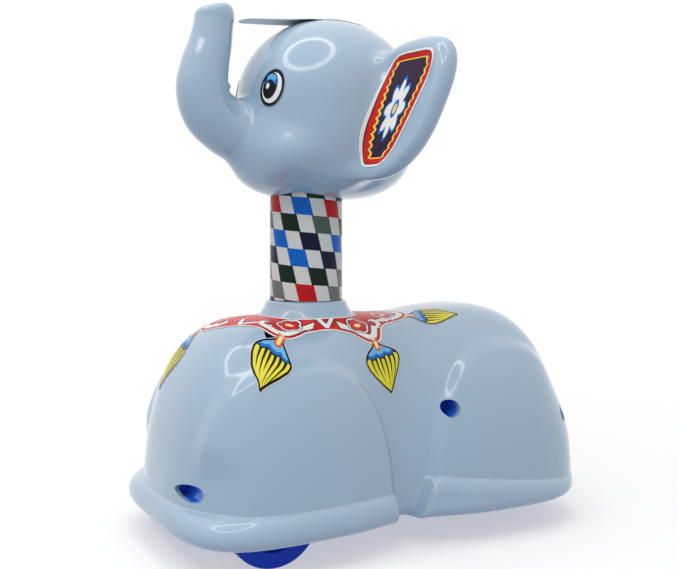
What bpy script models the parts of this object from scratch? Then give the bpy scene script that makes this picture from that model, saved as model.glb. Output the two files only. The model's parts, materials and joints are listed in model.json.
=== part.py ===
"""Press and go elephant: pressing the head drives the front wheels through a rack and a ratchet.

Units are metres, +Z is up, the elephant faces -Y and its left side is +X.
Every piece is placed from the neck axis, which the empty "toy" carries.
"""
from math import asin, atan2, cos, hypot, pi, radians, sin, sqrt, tan, tau

import bmesh
import bpy
from mathutils import Matrix, Vector
from mathutils.bvhtree import BVHTree

MM = 0.001

# Body: plan of the wall and of the foot lip, measured from the neck axis
FRONT_CENTRE = -20 * MM
REAR_CENTRE = 69 * MM
FRONT_HALF_WIDTH = 44.7 * MM
REAR_HALF_WIDTH = 47.3 * MM
FRONT_DEPTH = 43.2 * MM
REAR_DEPTH = 42.2 * MM
FRONT_SQUARENESS = 2.65
REAR_SQUARENESS = 2.8
WAIST_Y = 21.5 * MM
WAIST_DEPTH = 5.5 * MM
WAIST_SPREAD = 20 * MM
LIP_SIDE = 3.2 * MM
LIP_FRONT = 2.4 * MM
LIP_REAR = 0.3 * MM
LIP_SQUARENESS = 3.6
LIP_TOP = 21.5 * MM
LIP_ROUND = 1.6 * MM
RIM_Z = 11.1 * MM

# Body: heights and relief
FRONT_TOP = 84 * MM
REAR_TOP = 86 * MM
SADDLE_Y = 38.5 * MM
SADDLE_DIP = 2.4 * MM
SADDLE_SPREAD = 20 * MM
DOME_SQUARENESS = 2.75
HAUNCH_RELIEF = 3.0 * MM
HAUNCH_SQUARENESS = 3.0
HAUNCH_TOP = 70 * MM
FRONT_HAUNCH_Y = -22 * MM
FRONT_HAUNCH_HALF = 36.5 * MM
REAR_HAUNCH_Y = 69 * MM
REAR_HAUNCH_HALF = 39 * MM
HAUNCH_EDGE = 0.16
FOOT_BLEND = 5 * MM
LIP_STEEPNESS = 2.2
WALL = 2.2 * MM

# Clearances
GAP = 0.3 * MM
SLIDE_GAP = 0.5 * MM
BEARING_GAP = 0.3 * MM
LABEL_GAP = 0.55 * MM
LABEL_THICKNESS = 0.4 * MM
BACKLASH = 0.5 * MM
TRAY_GAP = 0.4 * MM
WHEEL_ROOM = 1.5 * MM

# Neck and head travel
NECK_R = 13.8 * MM
NECK_WALL = 1.8 * MM
NECK_WRAP_THICKNESS = 0.3 * MM
PRESS_TRAVEL = 28 * MM
COLLAR_TOP = 90 * MM
COLLAR_WALL = 2.5 * MM
COLLAR_FOOT = 2.6 * MM
COLLAR_FOOT_TOP = 84 * MM
COLLAR_BEVEL = 1 * MM
COLLAR_ROOT = 8 * MM
GUIDE_WALL = 2.1 * MM
GUIDE_LENGTH = 18 * MM
GUIDE_DROP = 4.3 * MM
STOP_HEIGHT = 3 * MM
STOP_CATCH = 0.8 * MM

# Head
HEAD_BOTTOM = 129 * MM
HEAD_CENTRE = Vector((0, 9 * MM, 165.6 * MM))
HEAD_RADII = Vector((36 * MM, 36.5 * MM, 36.1 * MM))
JAW_SQUARENESS = 3.0
CROWN_SQUARENESS = 2.1
HEAD_WALL = 2.4 * MM
NECK_SOCKET_DEPTH = 16 * MM
SOCKET_END_GAP = 1 * MM
TRUNK_TIP_TILT = radians(14)
EAR_ROOT = Vector((25 * MM, 12 * MM, 162 * MM))
EAR_SWEEP = radians(8)
EAR_HALF_LENGTH = 24 * MM
EAR_HALF_HEIGHT = 26 * MM
EAR_HALF_THICKNESS = 4 * MM
EAR_MIDDLE = 18 * MM
EAR_LEAN = 0.27
EAR_PITCH = 0.25
EAR_SQUARENESS = 2.6

# Drive
GEAR_MODULE = 1.0 * MM
TOOTH_RISE = 0.9
TOOTH_DEPTH = 1.2
PRESSURE_ANGLE = radians(20)
RACK_PINION_R = 6 * MM
DRIVE_GEAR_R = 24 * MM
AXLE_PINION_R = 7.5 * MM
RACK_BACK = 2 * MM
RACK_WIDTH = 7 * MM
RACK_PINION_WIDTH = 6 * MM
SHAFT_R = 1.5 * MM
WHEEL_R = 18 * MM
WHEEL_WIDTH = 8 * MM
WHEEL_HUB_R = 4.5 * MM
WHEEL_BEVEL = 0.8 * MM
RIM_DEPTH = 3.4 * MM
RIM_DRAFT = 0.5 * MM
WEB_RECESS = 2 * MM
WHEEL_INNER_X = 29 * MM
FRONT_AXLE_Y = -31.5 * MM
FRONT_AXLE_Z = 18 * MM
AXLE_CAP_R = 3.4 * MM
AXLE_CAP_TOP_R = 2.4 * MM
AXLE_CAP_CROWN = 1 * MM
AXLE_CAP_FLOOR = 2 * MM
AXLE_END = 3 * MM
GEAR_X = 18.5 * MM
GEAR_WIDTH = 3 * MM
RATCHET_X = 8 * MM
RATCHET_WIDTH = 4 * MM
RATCHET_R = 5.5 * MM
RATCHET_TEETH = 8
RATCHET_DEPTH = 1.1 * MM
RATCHET_FACE_ANGLE = 0.06
PINION_HUB_R = 3.4 * MM
GEAR_HUB_R = 5 * MM
HUB_END_GAP = 0.6 * MM
RATCHET_SIDE_ROOM = 2 * MM
SHAFT_END = 1 * MM
PAWL_TURN = 0.6
PAWL_STUD_DISTANCE = 7.9 * MM
PAWL_STUD_R = 1.2 * MM
PAWL_ROOT_HALF = 0.7 * MM
PAWL_ROOT_SINK = 0.3 * MM
PAWL_LENGTH = 4.6 * MM
PAWL_LEAN = 0.6 * MM
PAWL_TIP_WIDTH = 0.9 * MM
PAWL_TIP_SLANT = 0.4 * MM
PLATE_X = 24.5 * MM
PLATE_THICKNESS = 2 * MM
REAR_WHEEL_R = 11 * MM
REAR_WHEEL_WIDTH = 6 * MM
REAR_WHEEL_X = 10 * MM
REAR_AXLE_Y = 72 * MM

PLATE_FRONT = -50 * MM
PLATE_BACK = -13 * MM
PLATE_HEAD_HALF = 6 * MM
PLATE_TOP_HALF = 3.5 * MM
PLATE_SHOULDER = 10 * MM
FOOT_HALF = 3.4 * MM
FOOT_HEIGHT = 5 * MM
LUG_X = 19 * MM
LUG_WIDTH = 4 * MM
LUG_HALF = 5 * MM
LUG_WALL = 2.5 * MM

# Base tray and fasteners
TRAY_THICKNESS = 2 * MM
TRAY_BOTTOM = 12 * MM
SPRING_R = 11 * MM
SPRING_WIRE_R = 0.7 * MM
SPRING_TURNS = 7
SPRING_SEAT_HEIGHT = 6 * MM
SCREW_R = 1.5 * MM
SCREW_HEAD_R = 2.8 * MM
SCREW_HEAD_HEIGHT = 1.8 * MM
POCKET_R = 3.2 * MM
PLUG_HEIGHT = 2 * MM
PILLAR_R = 4.6 * MM
TRAY_BOSS_HEIGHT = 14 * MM
TRAY_SCREW_GRIP = 8 * MM
SCREW_POINT = 1 * MM
SCREW_END_ROOM = 2 * MM
PLUG_BEVEL = 0.4 * MM
SPLIT_GAP = 0.15 * MM
GEAR_ROOM = 0.7 * MM
TRAY_SCREW_Y = {"front": 2 * MM, "rear": 62 * MM}
BOSS_SINK = 0.9 * MM

# Trunk centre line: distance behind the neck axis, height and radius
TRUNK_PATH = (
    (-16.5, 149, 15.6), (-27.4, 152.2, 10.4), (-35.6, 156.7, 10), (-41.7, 162.7, 10.2), (-44.3, 171, 10),
    (-43.4, 179.5, 9.2), (-41.2, 188, 8.2), (-39.8, 196, 7.5), (-39.4, 202, 7.5),
)

# Labels
CAPARISON_ROOM_X = 1 * MM
CAPARISON_ROOM_Y = 3 * MM
CAPARISON_BAND_X = 2.5 * MM
CAPARISON_BAND_Y = 15 * MM
LOBE_REACH = 6.5 * MM
LOBE_SPREAD = radians(15)
TASSEL_HALF_WIDTH = 7 * MM
SURFACE_STEP = 0.5 * MM
TASSEL_ROWS = 8
CAPARISON_ROWS = 6

# Caparison lobes: middle in degrees from the front over the left, lean of the tassel and its length
LOBES = (
    (-4, -12, 24 * MM), (46, -4, 25.5 * MM), (124, -25, 20 * MM),
    (164, -4, 20 * MM), (225, 25, 20 * MM), (301, 4, 25.5 * MM),
)
EYE_HALF_WIDTH = 5.1 * MM
EYE_HALF_HEIGHT = 6.8 * MM
EYE_TURN = radians(27)
EYE_HEIGHT = 171 * MM
EYE_TILT = radians(12)
EAR_LABEL_HALF_LENGTH = 9.9 * MM
EAR_LABEL_HALF_HEIGHT = 21 * MM
BROW_LABEL_HALF_WIDTH = 13 * MM
BROW_LABEL_BACK = 34 * MM
BROW_LABEL_FRONT = -29 * MM
BROW_LIFT_Y = 2 * MM
BROW_SLOPE = 0.06
EAR_LABEL_SHIFT = 0.13
EAR_LABEL_TAPER = 0.25
LABEL_TIP = 0.97

# Sizes that follow from the ones above
NECK_Y = -(FRONT_CENTRE - FRONT_DEPTH - LIP_FRONT + REAR_CENTRE + REAR_DEPTH + LIP_REAR) / 2
GUIDE_BORE = NECK_R + GAP + NECK_WRAP_THICKNESS + SLIDE_GAP
GUIDE_TOP = FRONT_TOP - WALL - GUIDE_DROP
GUIDE_BOTTOM = GUIDE_TOP - GUIDE_LENGTH
STOP_R = GUIDE_BORE + STOP_CATCH
COLLAR_R = GUIDE_BORE + COLLAR_WALL
COLLAR_FOOT_R = COLLAR_R + COLLAR_FOOT
CAPARISON_INNER_X = COLLAR_FOOT_R + CAPARISON_ROOM_X
CAPARISON_INNER_Y = COLLAR_FOOT_R + CAPARISON_ROOM_Y
CAPARISON_OUTER_X = CAPARISON_INNER_X + CAPARISON_BAND_X
CAPARISON_OUTER_Y = CAPARISON_INNER_Y + CAPARISON_BAND_Y
TUBE_BOTTOM = GUIDE_BOTTOM - GAP - STOP_HEIGHT
TRAY_TOP = TRAY_BOTTOM + TRAY_THICKNESS
RACK_PINION_TEETH = round(2 * RACK_PINION_R / GEAR_MODULE)
DRIVE_GEAR_TEETH = round(2 * DRIVE_GEAR_R / GEAR_MODULE)
AXLE_PINION_TEETH = round(2 * AXLE_PINION_R / GEAR_MODULE)
RACK_PITCH_Y = -(NECK_R + GAP + RACK_BACK + TOOTH_DEPTH * GEAR_MODULE)
SHAFT_Y = RACK_PITCH_Y - RACK_PINION_TEETH * GEAR_MODULE / 2
GEAR_DISTANCE = (DRIVE_GEAR_TEETH + AXLE_PINION_TEETH) * GEAR_MODULE / 2
SHAFT_Z = FRONT_AXLE_Z + sqrt(GEAR_DISTANCE ** 2 - (SHAFT_Y - FRONT_AXLE_Y) ** 2)
RACK_BOTTOM = SHAFT_Z - 5.5 * GEAR_MODULE
RACK_TOP = SHAFT_Z + PRESS_TRAVEL + 3 * GEAR_MODULE
AXLE_HALF = WHEEL_INNER_X + WHEEL_WIDTH + AXLE_END
REAR_AXLE_Z = FRONT_AXLE_Z - WHEEL_R + REAR_WHEEL_R
DRIVE_GEAR_TOP = SHAFT_Z + DRIVE_GEAR_TEETH * GEAR_MODULE / 2 + TOOTH_RISE * GEAR_MODULE

# Screw pockets on the left shell: distance behind the neck axis, height, floor's distance from the middle
TIE_POINTS = {
    "front_foot": (-57.8 * MM, 26.8 * MM, 11 * MM),
    "shoulder": (-25 * MM, DRIVE_GEAR_TOP + GEAR_ROOM + PILLAR_R, 8 * MM),
    "haunch": (40 * MM, 50 * MM, 31 * MM),
    "tail": (99.5 * MM, 42 * MM, 20 * MM),
}


def clear_scene():
    for item in list(bpy.data.objects):
        bpy.data.objects.remove(item)


def finish_material(name, colour, roughness, metallic=0.0):
    material = bpy.data.materials.new(name)
    material.use_nodes = True
    shader = material.node_tree.nodes["Principled BSDF"]
    shader.inputs["Base Color"].default_value = (*colour, 1.0)
    shader.inputs["Roughness"].default_value = roughness
    shader.inputs["Metallic"].default_value = metallic
    material.diffuse_color = (*colour, 1.0)
    return material


def new_piece(name, mesh, material, parent, location=(0, 0, 0)):
    mesh.materials.append(material)
    piece = bpy.data.objects.new(name, mesh)
    piece.location = location
    piece.parent = parent
    bpy.context.scene.collection.objects.link(piece)
    return piece


def mesh_from(name, work):
    bmesh.ops.remove_doubles(work, verts=work.verts, dist=1e-7)
    bmesh.ops.recalc_face_normals(work, faces=work.faces)
    mesh = bpy.data.meshes.new(name)
    work.to_mesh(mesh)
    work.free()
    mesh.shade_smooth()
    mesh.set_sharp_from_angle(angle=radians(35))
    return mesh


def turned_mesh(name, profile, axis="Z", steps=32):
    """Spin a closed profile of (radius, height) points about an axis through the origin."""
    work = bmesh.new()
    points = [work.verts.new((radius, 0, height)) for radius, height in profile]
    edges = []
    for index, point in enumerate(points):
        following = points[(index + 1) % len(points)]
        on_axis = point.co.x < 1e-7 and following.co.x < 1e-7
        if not on_axis:
            edges.append(work.edges.new((point, following)))
    bmesh.ops.spin(
        work, geom=points + edges, cent=(0, 0, 0), axis=(0, 0, 1), angle=tau, steps=steps, use_merge=True
    )
    if axis == "X":
        bmesh.ops.rotate(work, verts=work.verts, cent=(0, 0, 0), matrix=Matrix.Rotation(pi / 2, 3, "Y"))
    return mesh_from(name, work)


def rod_mesh(name, radius, start, end, axis="Z", steps=20):
    return turned_mesh(name, [(0, end), (radius, end), (radius, start), (0, start)], axis, steps)


def prism_mesh(name, outline, start, end, axis="X"):
    """Extrude a closed outline; for axis X it holds (y, z) points, for axis Z it holds (x, y) points."""
    work = bmesh.new()
    if axis == "X":
        points = [work.verts.new((start, a, b)) for a, b in outline]
        travel = (end - start, 0, 0)
    else:
        points = [work.verts.new((a, b, start)) for a, b in outline]
        travel = (0, 0, end - start)
    face = work.faces.new(points)
    grown = bmesh.ops.extrude_face_region(work, geom=[face])["geom"]
    moved = [item for item in grown if isinstance(item, bmesh.types.BMVert)]
    bmesh.ops.translate(work, verts=moved, vec=travel)
    return mesh_from(name, work)


def box_mesh(name, low, high):
    outline = [(low[0], low[1]), (high[0], low[1]), (high[0], high[1]), (low[0], high[1])]
    return prism_mesh(name, outline, low[2], high[2], axis="Z")


def joined_mesh(name, meshes):
    work = bmesh.new()
    for mesh in meshes:
        work.from_mesh(mesh)
        bpy.data.meshes.remove(mesh)
    mesh = bpy.data.meshes.new(name)
    work.to_mesh(mesh)
    work.free()
    return mesh


def guide_object(name, mesh, parent):
    cutter = bpy.data.objects.new(name, mesh)
    cutter.parent = parent
    cutter.hide_render = True
    cutter.display_type = "WIRE"
    bpy.context.scene.collection.objects.link(cutter)
    return cutter


def combine(piece, other, operation):
    step = piece.modifiers.new(f"{operation.lower()}_{other.name}", "BOOLEAN")
    step.operation = operation
    step.object = other
    step.solver = "EXACT"


def smooth_step(value):
    value = min(max(value, 0.0), 1.0)
    return value * value * (3 - 2 * value)


def superellipse_radius(angle, across, along, squareness):
    """Radius in a direction that is measured from the long axis."""
    side = abs(sin(angle)) / across
    end = abs(cos(angle)) / along
    return (side ** squareness + end ** squareness) ** (-1 / squareness)


def spine_top(y):
    share = smooth_step((y - FRONT_CENTRE) / (REAR_CENTRE - FRONT_CENTRE))
    level = FRONT_TOP + (REAR_TOP - FRONT_TOP) * share
    return level - SADDLE_DIP * 2.718 ** (-(((y - SADDLE_Y) / SADDLE_SPREAD) ** 2))


def side_half_width(y):
    share = smooth_step((y - FRONT_CENTRE) / (REAR_CENTRE - FRONT_CENTRE))
    width = FRONT_HALF_WIDTH + (REAR_HALF_WIDTH - FRONT_HALF_WIDTH) * share
    return width - WAIST_DEPTH * 2.718 ** (-(((y - WAIST_Y) / WAIST_SPREAD) ** 2))


def body_stations(fan_steps, side_steps):
    """Directions round the left half of the plan: (spine y, direction, wall radius, lip radius)."""
    stations = []
    for index in range(fan_steps):
        angle = pi / 2 * index / fan_steps
        wall = superellipse_radius(angle, FRONT_HALF_WIDTH, FRONT_DEPTH, FRONT_SQUARENESS)
        lip = superellipse_radius(
            angle,
            FRONT_HALF_WIDTH + HAUNCH_RELIEF + LIP_SIDE,
            FRONT_DEPTH + LIP_FRONT,
            LIP_SQUARENESS,
        )
        stations.append((FRONT_CENTRE, Vector((sin(angle), -cos(angle), 0)), wall, lip))
    for index in range(side_steps + 1):
        y = FRONT_CENTRE + (REAR_CENTRE - FRONT_CENTRE) * index / side_steps
        wall = side_half_width(y)
        lip = wall + HAUNCH_RELIEF + LIP_SIDE
        stations.append((y, Vector((1, 0, 0)), wall, lip))
    for index in range(1, fan_steps + 1):
        angle = pi / 2 * index / fan_steps
        wall = superellipse_radius(pi / 2 - angle, REAR_HALF_WIDTH, REAR_DEPTH, REAR_SQUARENESS)
        lip = superellipse_radius(
            pi / 2 - angle,
            REAR_HALF_WIDTH + HAUNCH_RELIEF + LIP_SIDE,
            REAR_DEPTH + LIP_REAR,
            REAR_SQUARENESS,
        )
        stations.append((REAR_CENTRE, Vector((cos(angle), sin(angle), 0)), wall, lip))
    return stations


def haunch_share(y, z):
    best = 0.0
    for middle, half in ((FRONT_HAUNCH_Y, FRONT_HAUNCH_HALF), (REAR_HAUNCH_Y, REAR_HAUNCH_HALF)):
        across = abs(y - middle) / half
        up = max(z, 0.0) / HAUNCH_TOP
        reach = (across ** HAUNCH_SQUARENESS + up ** HAUNCH_SQUARENESS) ** (1 / HAUNCH_SQUARENESS)
        best = max(best, smooth_step((1 + HAUNCH_EDGE / 2 - reach) / HAUNCH_EDGE))
    return best


def foot_share(y):
    front_end = FRONT_HAUNCH_Y + FRONT_HAUNCH_HALF
    rear_start = REAR_HAUNCH_Y - REAR_HAUNCH_HALF
    front = smooth_step((front_end - y) / FOOT_BLEND + 0.5)
    rear = smooth_step((y - rear_start) / FOOT_BLEND + 0.5)
    return max(front, rear)


def lip_share(z):
    return smooth_step((LIP_TOP - z) / (LIP_TOP - RIM_Z) * LIP_STEEPNESS)


def body_point(station, z, inset):
    """A point of the body surface at a height, moved in by the inset; the lip is only on the outside."""
    spine_y, direction, wall, lip = station
    top = spine_top(spine_y) - inset
    share = min(max(z / top, 0.0), 1.0)
    shrink = (1 - share ** DOME_SQUARENESS) ** (1 / DOME_SQUARENESS)
    radius = (wall - inset) * shrink
    probe = Vector((0, spine_y, 0)) + direction * radius
    radius += HAUNCH_RELIEF * haunch_share(probe.y, z)
    if inset == 0:
        overhang = max(lip * shrink - radius, 0)
        radius += overhang * foot_share(probe.y) * lip_share(z)
        radius -= LIP_ROUND * smooth_step((RIM_Z + LIP_ROUND - z) / LIP_ROUND)
    return Vector((direction.x * radius, spine_y + direction.y * radius, z))


def body_levels(station, inset, lower, upper_steps):
    """Heights of one column: the given lower ones, then steps that close up towards the top."""
    top = spine_top(station[0]) - inset
    start = asin((lower[-1] / top) ** (DOME_SQUARENESS / 2))
    last = radians(86)
    levels = list(lower)
    for index in range(1, upper_steps + 1):
        angle = start + (last - start) * index / upper_steps
        levels.append(top * sin(angle) ** (2 / DOME_SQUARENESS))
    return levels


def body_solid_mesh(name, inset, lower, fan_steps, side_steps, upper_steps):
    stations = body_stations(fan_steps, side_steps)
    work = bmesh.new()
    columns = {1: [], -1: []}
    for index, station in enumerate(stations):
        on_middle = index in (0, len(stations) - 1)
        points = [body_point(station, z, inset) for z in body_levels(station, inset, lower, upper_steps)]
        if on_middle:
            for point in points:
                point.x = 0
        left = [work.verts.new(point) for point in points]
        right = left
        if not on_middle:
            right = [work.verts.new((-point.x, point.y, point.z)) for point in points]
        columns[1].append(left)
        columns[-1].append(right)
    for side in (1, -1):
        for here, there in zip(columns[side], columns[side][1:]):
            for level in range(len(here) - 1):
                work.faces.new((here[level], there[level], there[level + 1], here[level + 1]))
    rim = [column[0] for column in columns[1]]
    rim += [column[0] for column in columns[-1][-2:0:-1]]
    work.faces.new(rim)
    for index in range(len(stations) - 1):
        ring = []
        here, there = index, index + 1
        around = (columns[1][here], columns[1][there], columns[-1][there], columns[-1][here])
        for column in around:
            if column[-1] not in ring:
                ring.append(column[-1])
        work.faces.new(ring)
    return mesh_from(name, work)


OUTER_LOWER = (
    RIM_Z,
    RIM_Z + LIP_ROUND,
    RIM_Z + 0.55 * (LIP_TOP - RIM_Z),
    RIM_Z + 0.8 * (LIP_TOP - RIM_Z),
    LIP_TOP,
    LIP_TOP + 3 * MM,
)
INNER_LOWER = (RIM_Z - 3 * MM, LIP_TOP)
INNER_FAN = 6
INNER_SIDE = 10


def tray_screw_x(y):
    """The tray bosses stand against the inside of the wall and sink into it a little."""
    wall_x = side_half_width(y) - WALL + HAUNCH_RELIEF * haunch_share(y, TRAY_TOP)
    return wall_x - PILLAR_R + BOSS_SINK


def build_body(parent, plastic):
    outer = guide_object("body_outer", body_solid_mesh("body_outer", 0, OUTER_LOWER, 8, 12, 8), parent)
    inner_mesh = body_solid_mesh("body_inner", WALL, INNER_LOWER, INNER_FAN, INNER_SIDE, 6)
    inner = guide_object("body_inner", inner_mesh, parent)

    pillars = []
    bores = []
    reach = 70 * MM
    for name, (y, z, floor_x) in TIE_POINTS.items():
        pillar = rod_mesh(f"{name}_pillar", PILLAR_R, -reach, reach, axis="X", steps=16)
        pillar.transform(Matrix.Translation((0, y, z)))
        pillars.append(pillar)
        pocket = rod_mesh(f"{name}_pocket", POCKET_R, floor_x, reach, axis="X", steps=20)
        shank_end = floor_x + SCREW_END_ROOM
        shank = rod_mesh(f"{name}_shank", SCREW_R + GAP, -shank_end, floor_x + GAP, axis="X", steps=12)
        for bore in (pocket, shank):
            bore.transform(Matrix.Translation((0, y, z)))
        bores.append((pocket, shank))
    for y in TRAY_SCREW_Y.values():
        x = tray_screw_x(y)
        for side in (1, -1):
            boss = rod_mesh("tray_boss", PILLAR_R, TRAY_TOP + GAP, TRAY_TOP + TRAY_BOSS_HEIGHT, steps=16)
            boss.transform(Matrix.Translation((side * x, y, 0)))
            pillars.append(boss)
            bore_top = TRAY_TOP + TRAY_BOSS_HEIGHT - SCREW_END_ROOM
            bore = rod_mesh("tray_bore", SCREW_R + GAP, TRAY_BOTTOM, bore_top, steps=12)
            bore.transform(Matrix.Translation((side * x, y, 0)))
            bores.append((bore,))
    combine(inner, guide_object("pillars", joined_mesh("pillars", pillars), parent), "DIFFERENCE")

    collar_base = FRONT_TOP - COLLAR_ROOT
    collar_profile = [
        (0, COLLAR_TOP),
        (COLLAR_R - COLLAR_BEVEL, COLLAR_TOP),
        (COLLAR_R, COLLAR_TOP - COLLAR_BEVEL),
        (COLLAR_R, COLLAR_FOOT_TOP + COLLAR_FOOT_R - COLLAR_R),
        (COLLAR_FOOT_R, COLLAR_FOOT_TOP),
        (COLLAR_FOOT_R, collar_base),
        (0, collar_base),
    ]
    collar = guide_object("collar", turned_mesh("collar", collar_profile, steps=36), parent)
    hole_bottom = collar_base - 20 * MM
    hole_mesh = rod_mesh("neck_hole", GUIDE_BORE, hole_bottom, COLLAR_TOP + 5 * MM, steps=36)
    neck_hole = guide_object("neck_hole", hole_mesh, parent)

    bore_cutters = []
    for index, group in enumerate(bores):
        for part in group:
            bore_cutters.append(guide_object(f"bore_{index}_{part.name}", part, parent))

    for side, name in ((1, "body_shell_left"), (-1, "body_shell_right")):
        shell = new_piece(name, outer.data.copy(), plastic, parent)
        far = 120 * MM
        low_x, high_x = sorted((side * SPLIT_GAP, -side * far))
        half_mesh = box_mesh("other_half", (low_x, -far, -far), (high_x, 2 * far, 2 * far))
        other_half = guide_object(f"{name}_other_half", half_mesh, parent)
        combine(shell, collar, "UNION")
        combine(shell, inner, "DIFFERENCE")
        combine(shell, neck_hole, "DIFFERENCE")
        combine(shell, other_half, "DIFFERENCE")
        for cutter in bore_cutters:
            is_pocket = "pocket" in cutter.name
            if side == 1 or not is_pocket:
                combine(shell, cutter, "DIFFERENCE")
    return outer


def build_fasteners(parent, steel, blue):
    for name, (y, z, floor_x) in TIE_POINTS.items():
        head_base = floor_x + GAP
        profile = [
            (0, head_base + SCREW_HEAD_HEIGHT),
            (SCREW_HEAD_R, head_base + SCREW_HEAD_HEIGHT),
            (SCREW_HEAD_R, head_base),
            (SCREW_R, head_base),
            (SCREW_R, SCREW_POINT - floor_x),
            (0, -floor_x),
        ]
        mesh = turned_mesh(f"tie_screw_{name}", profile, axis="X", steps=14)
        new_piece(f"tie_screw_{name}", mesh, steel, parent, (0, y, z))
        plug_base = head_base + SCREW_HEAD_HEIGHT + GAP
        plug_profile = [
            (0, plug_base + PLUG_HEIGHT),
            (POCKET_R - GAP - PLUG_BEVEL, plug_base + PLUG_HEIGHT),
            (POCKET_R - GAP, plug_base + PLUG_HEIGHT - PLUG_BEVEL),
            (POCKET_R - GAP, plug_base),
            (0, plug_base),
        ]
        mesh = turned_mesh(f"screw_plug_{name}", plug_profile, axis="X", steps=20)
        new_piece(f"screw_plug_{name}", mesh, blue, parent, (0, y, z))
    for name, y in TRAY_SCREW_Y.items():
        x = tray_screw_x(y)
        for side, side_name in ((1, "left"), (-1, "right")):
            add_base_screw(f"tray_screw_{name}_{side_name}", side * x, y, TRAY_SCREW_GRIP, parent, steel)


def add_base_screw(name, x, y, grip, parent, steel):
    """A screw driven upwards through the tray; its head is under the tray."""
    tip = TRAY_TOP + grip
    profile = [
        (0, tip),
        (SCREW_R, tip - SCREW_POINT),
        (SCREW_R, TRAY_BOTTOM - GAP),
        (SCREW_HEAD_R, TRAY_BOTTOM - GAP),
        (SCREW_HEAD_R, TRAY_BOTTOM - GAP - SCREW_HEAD_HEIGHT),
        (0, TRAY_BOTTOM - GAP - SCREW_HEAD_HEIGHT),
    ]
    new_piece(name, turned_mesh(name, profile, steps=14), steel, parent, (x, y, 0))


def gear_outline(teeth, turn):
    """Straight-flanked teeth round a pitch circle; one tooth points along the turn angle."""
    pitch_r = teeth * GEAR_MODULE / 2
    tip_r = pitch_r + TOOTH_RISE * GEAR_MODULE
    root_r = pitch_r - TOOTH_DEPTH * GEAR_MODULE
    half = (pi * GEAR_MODULE / 2 - BACKLASH) / 2
    tip_half = half - TOOTH_RISE * GEAR_MODULE * tan(PRESSURE_ANGLE)
    root_half = half + TOOTH_DEPTH * GEAR_MODULE * tan(PRESSURE_ANGLE)
    outline = []
    for tooth in range(teeth):
        middle = turn + tau * tooth / teeth
        flank = ((root_r, -root_half), (tip_r, -tip_half), (tip_r, tip_half), (root_r, root_half))
        for radius, offset in flank:
            angle = middle + offset / radius
            outline.append((radius * cos(angle), radius * sin(angle)))
    return outline


def ratchet_outline():
    outline = []
    for tooth in range(RATCHET_TEETH):
        start = tau * tooth / RATCHET_TEETH
        outline.append((RATCHET_R * cos(start), RATCHET_R * sin(start)))
        low = RATCHET_R - RATCHET_DEPTH
        foot = start + RATCHET_FACE_ANGLE
        outline.append((low * cos(foot), low * sin(foot)))
    return outline


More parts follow.
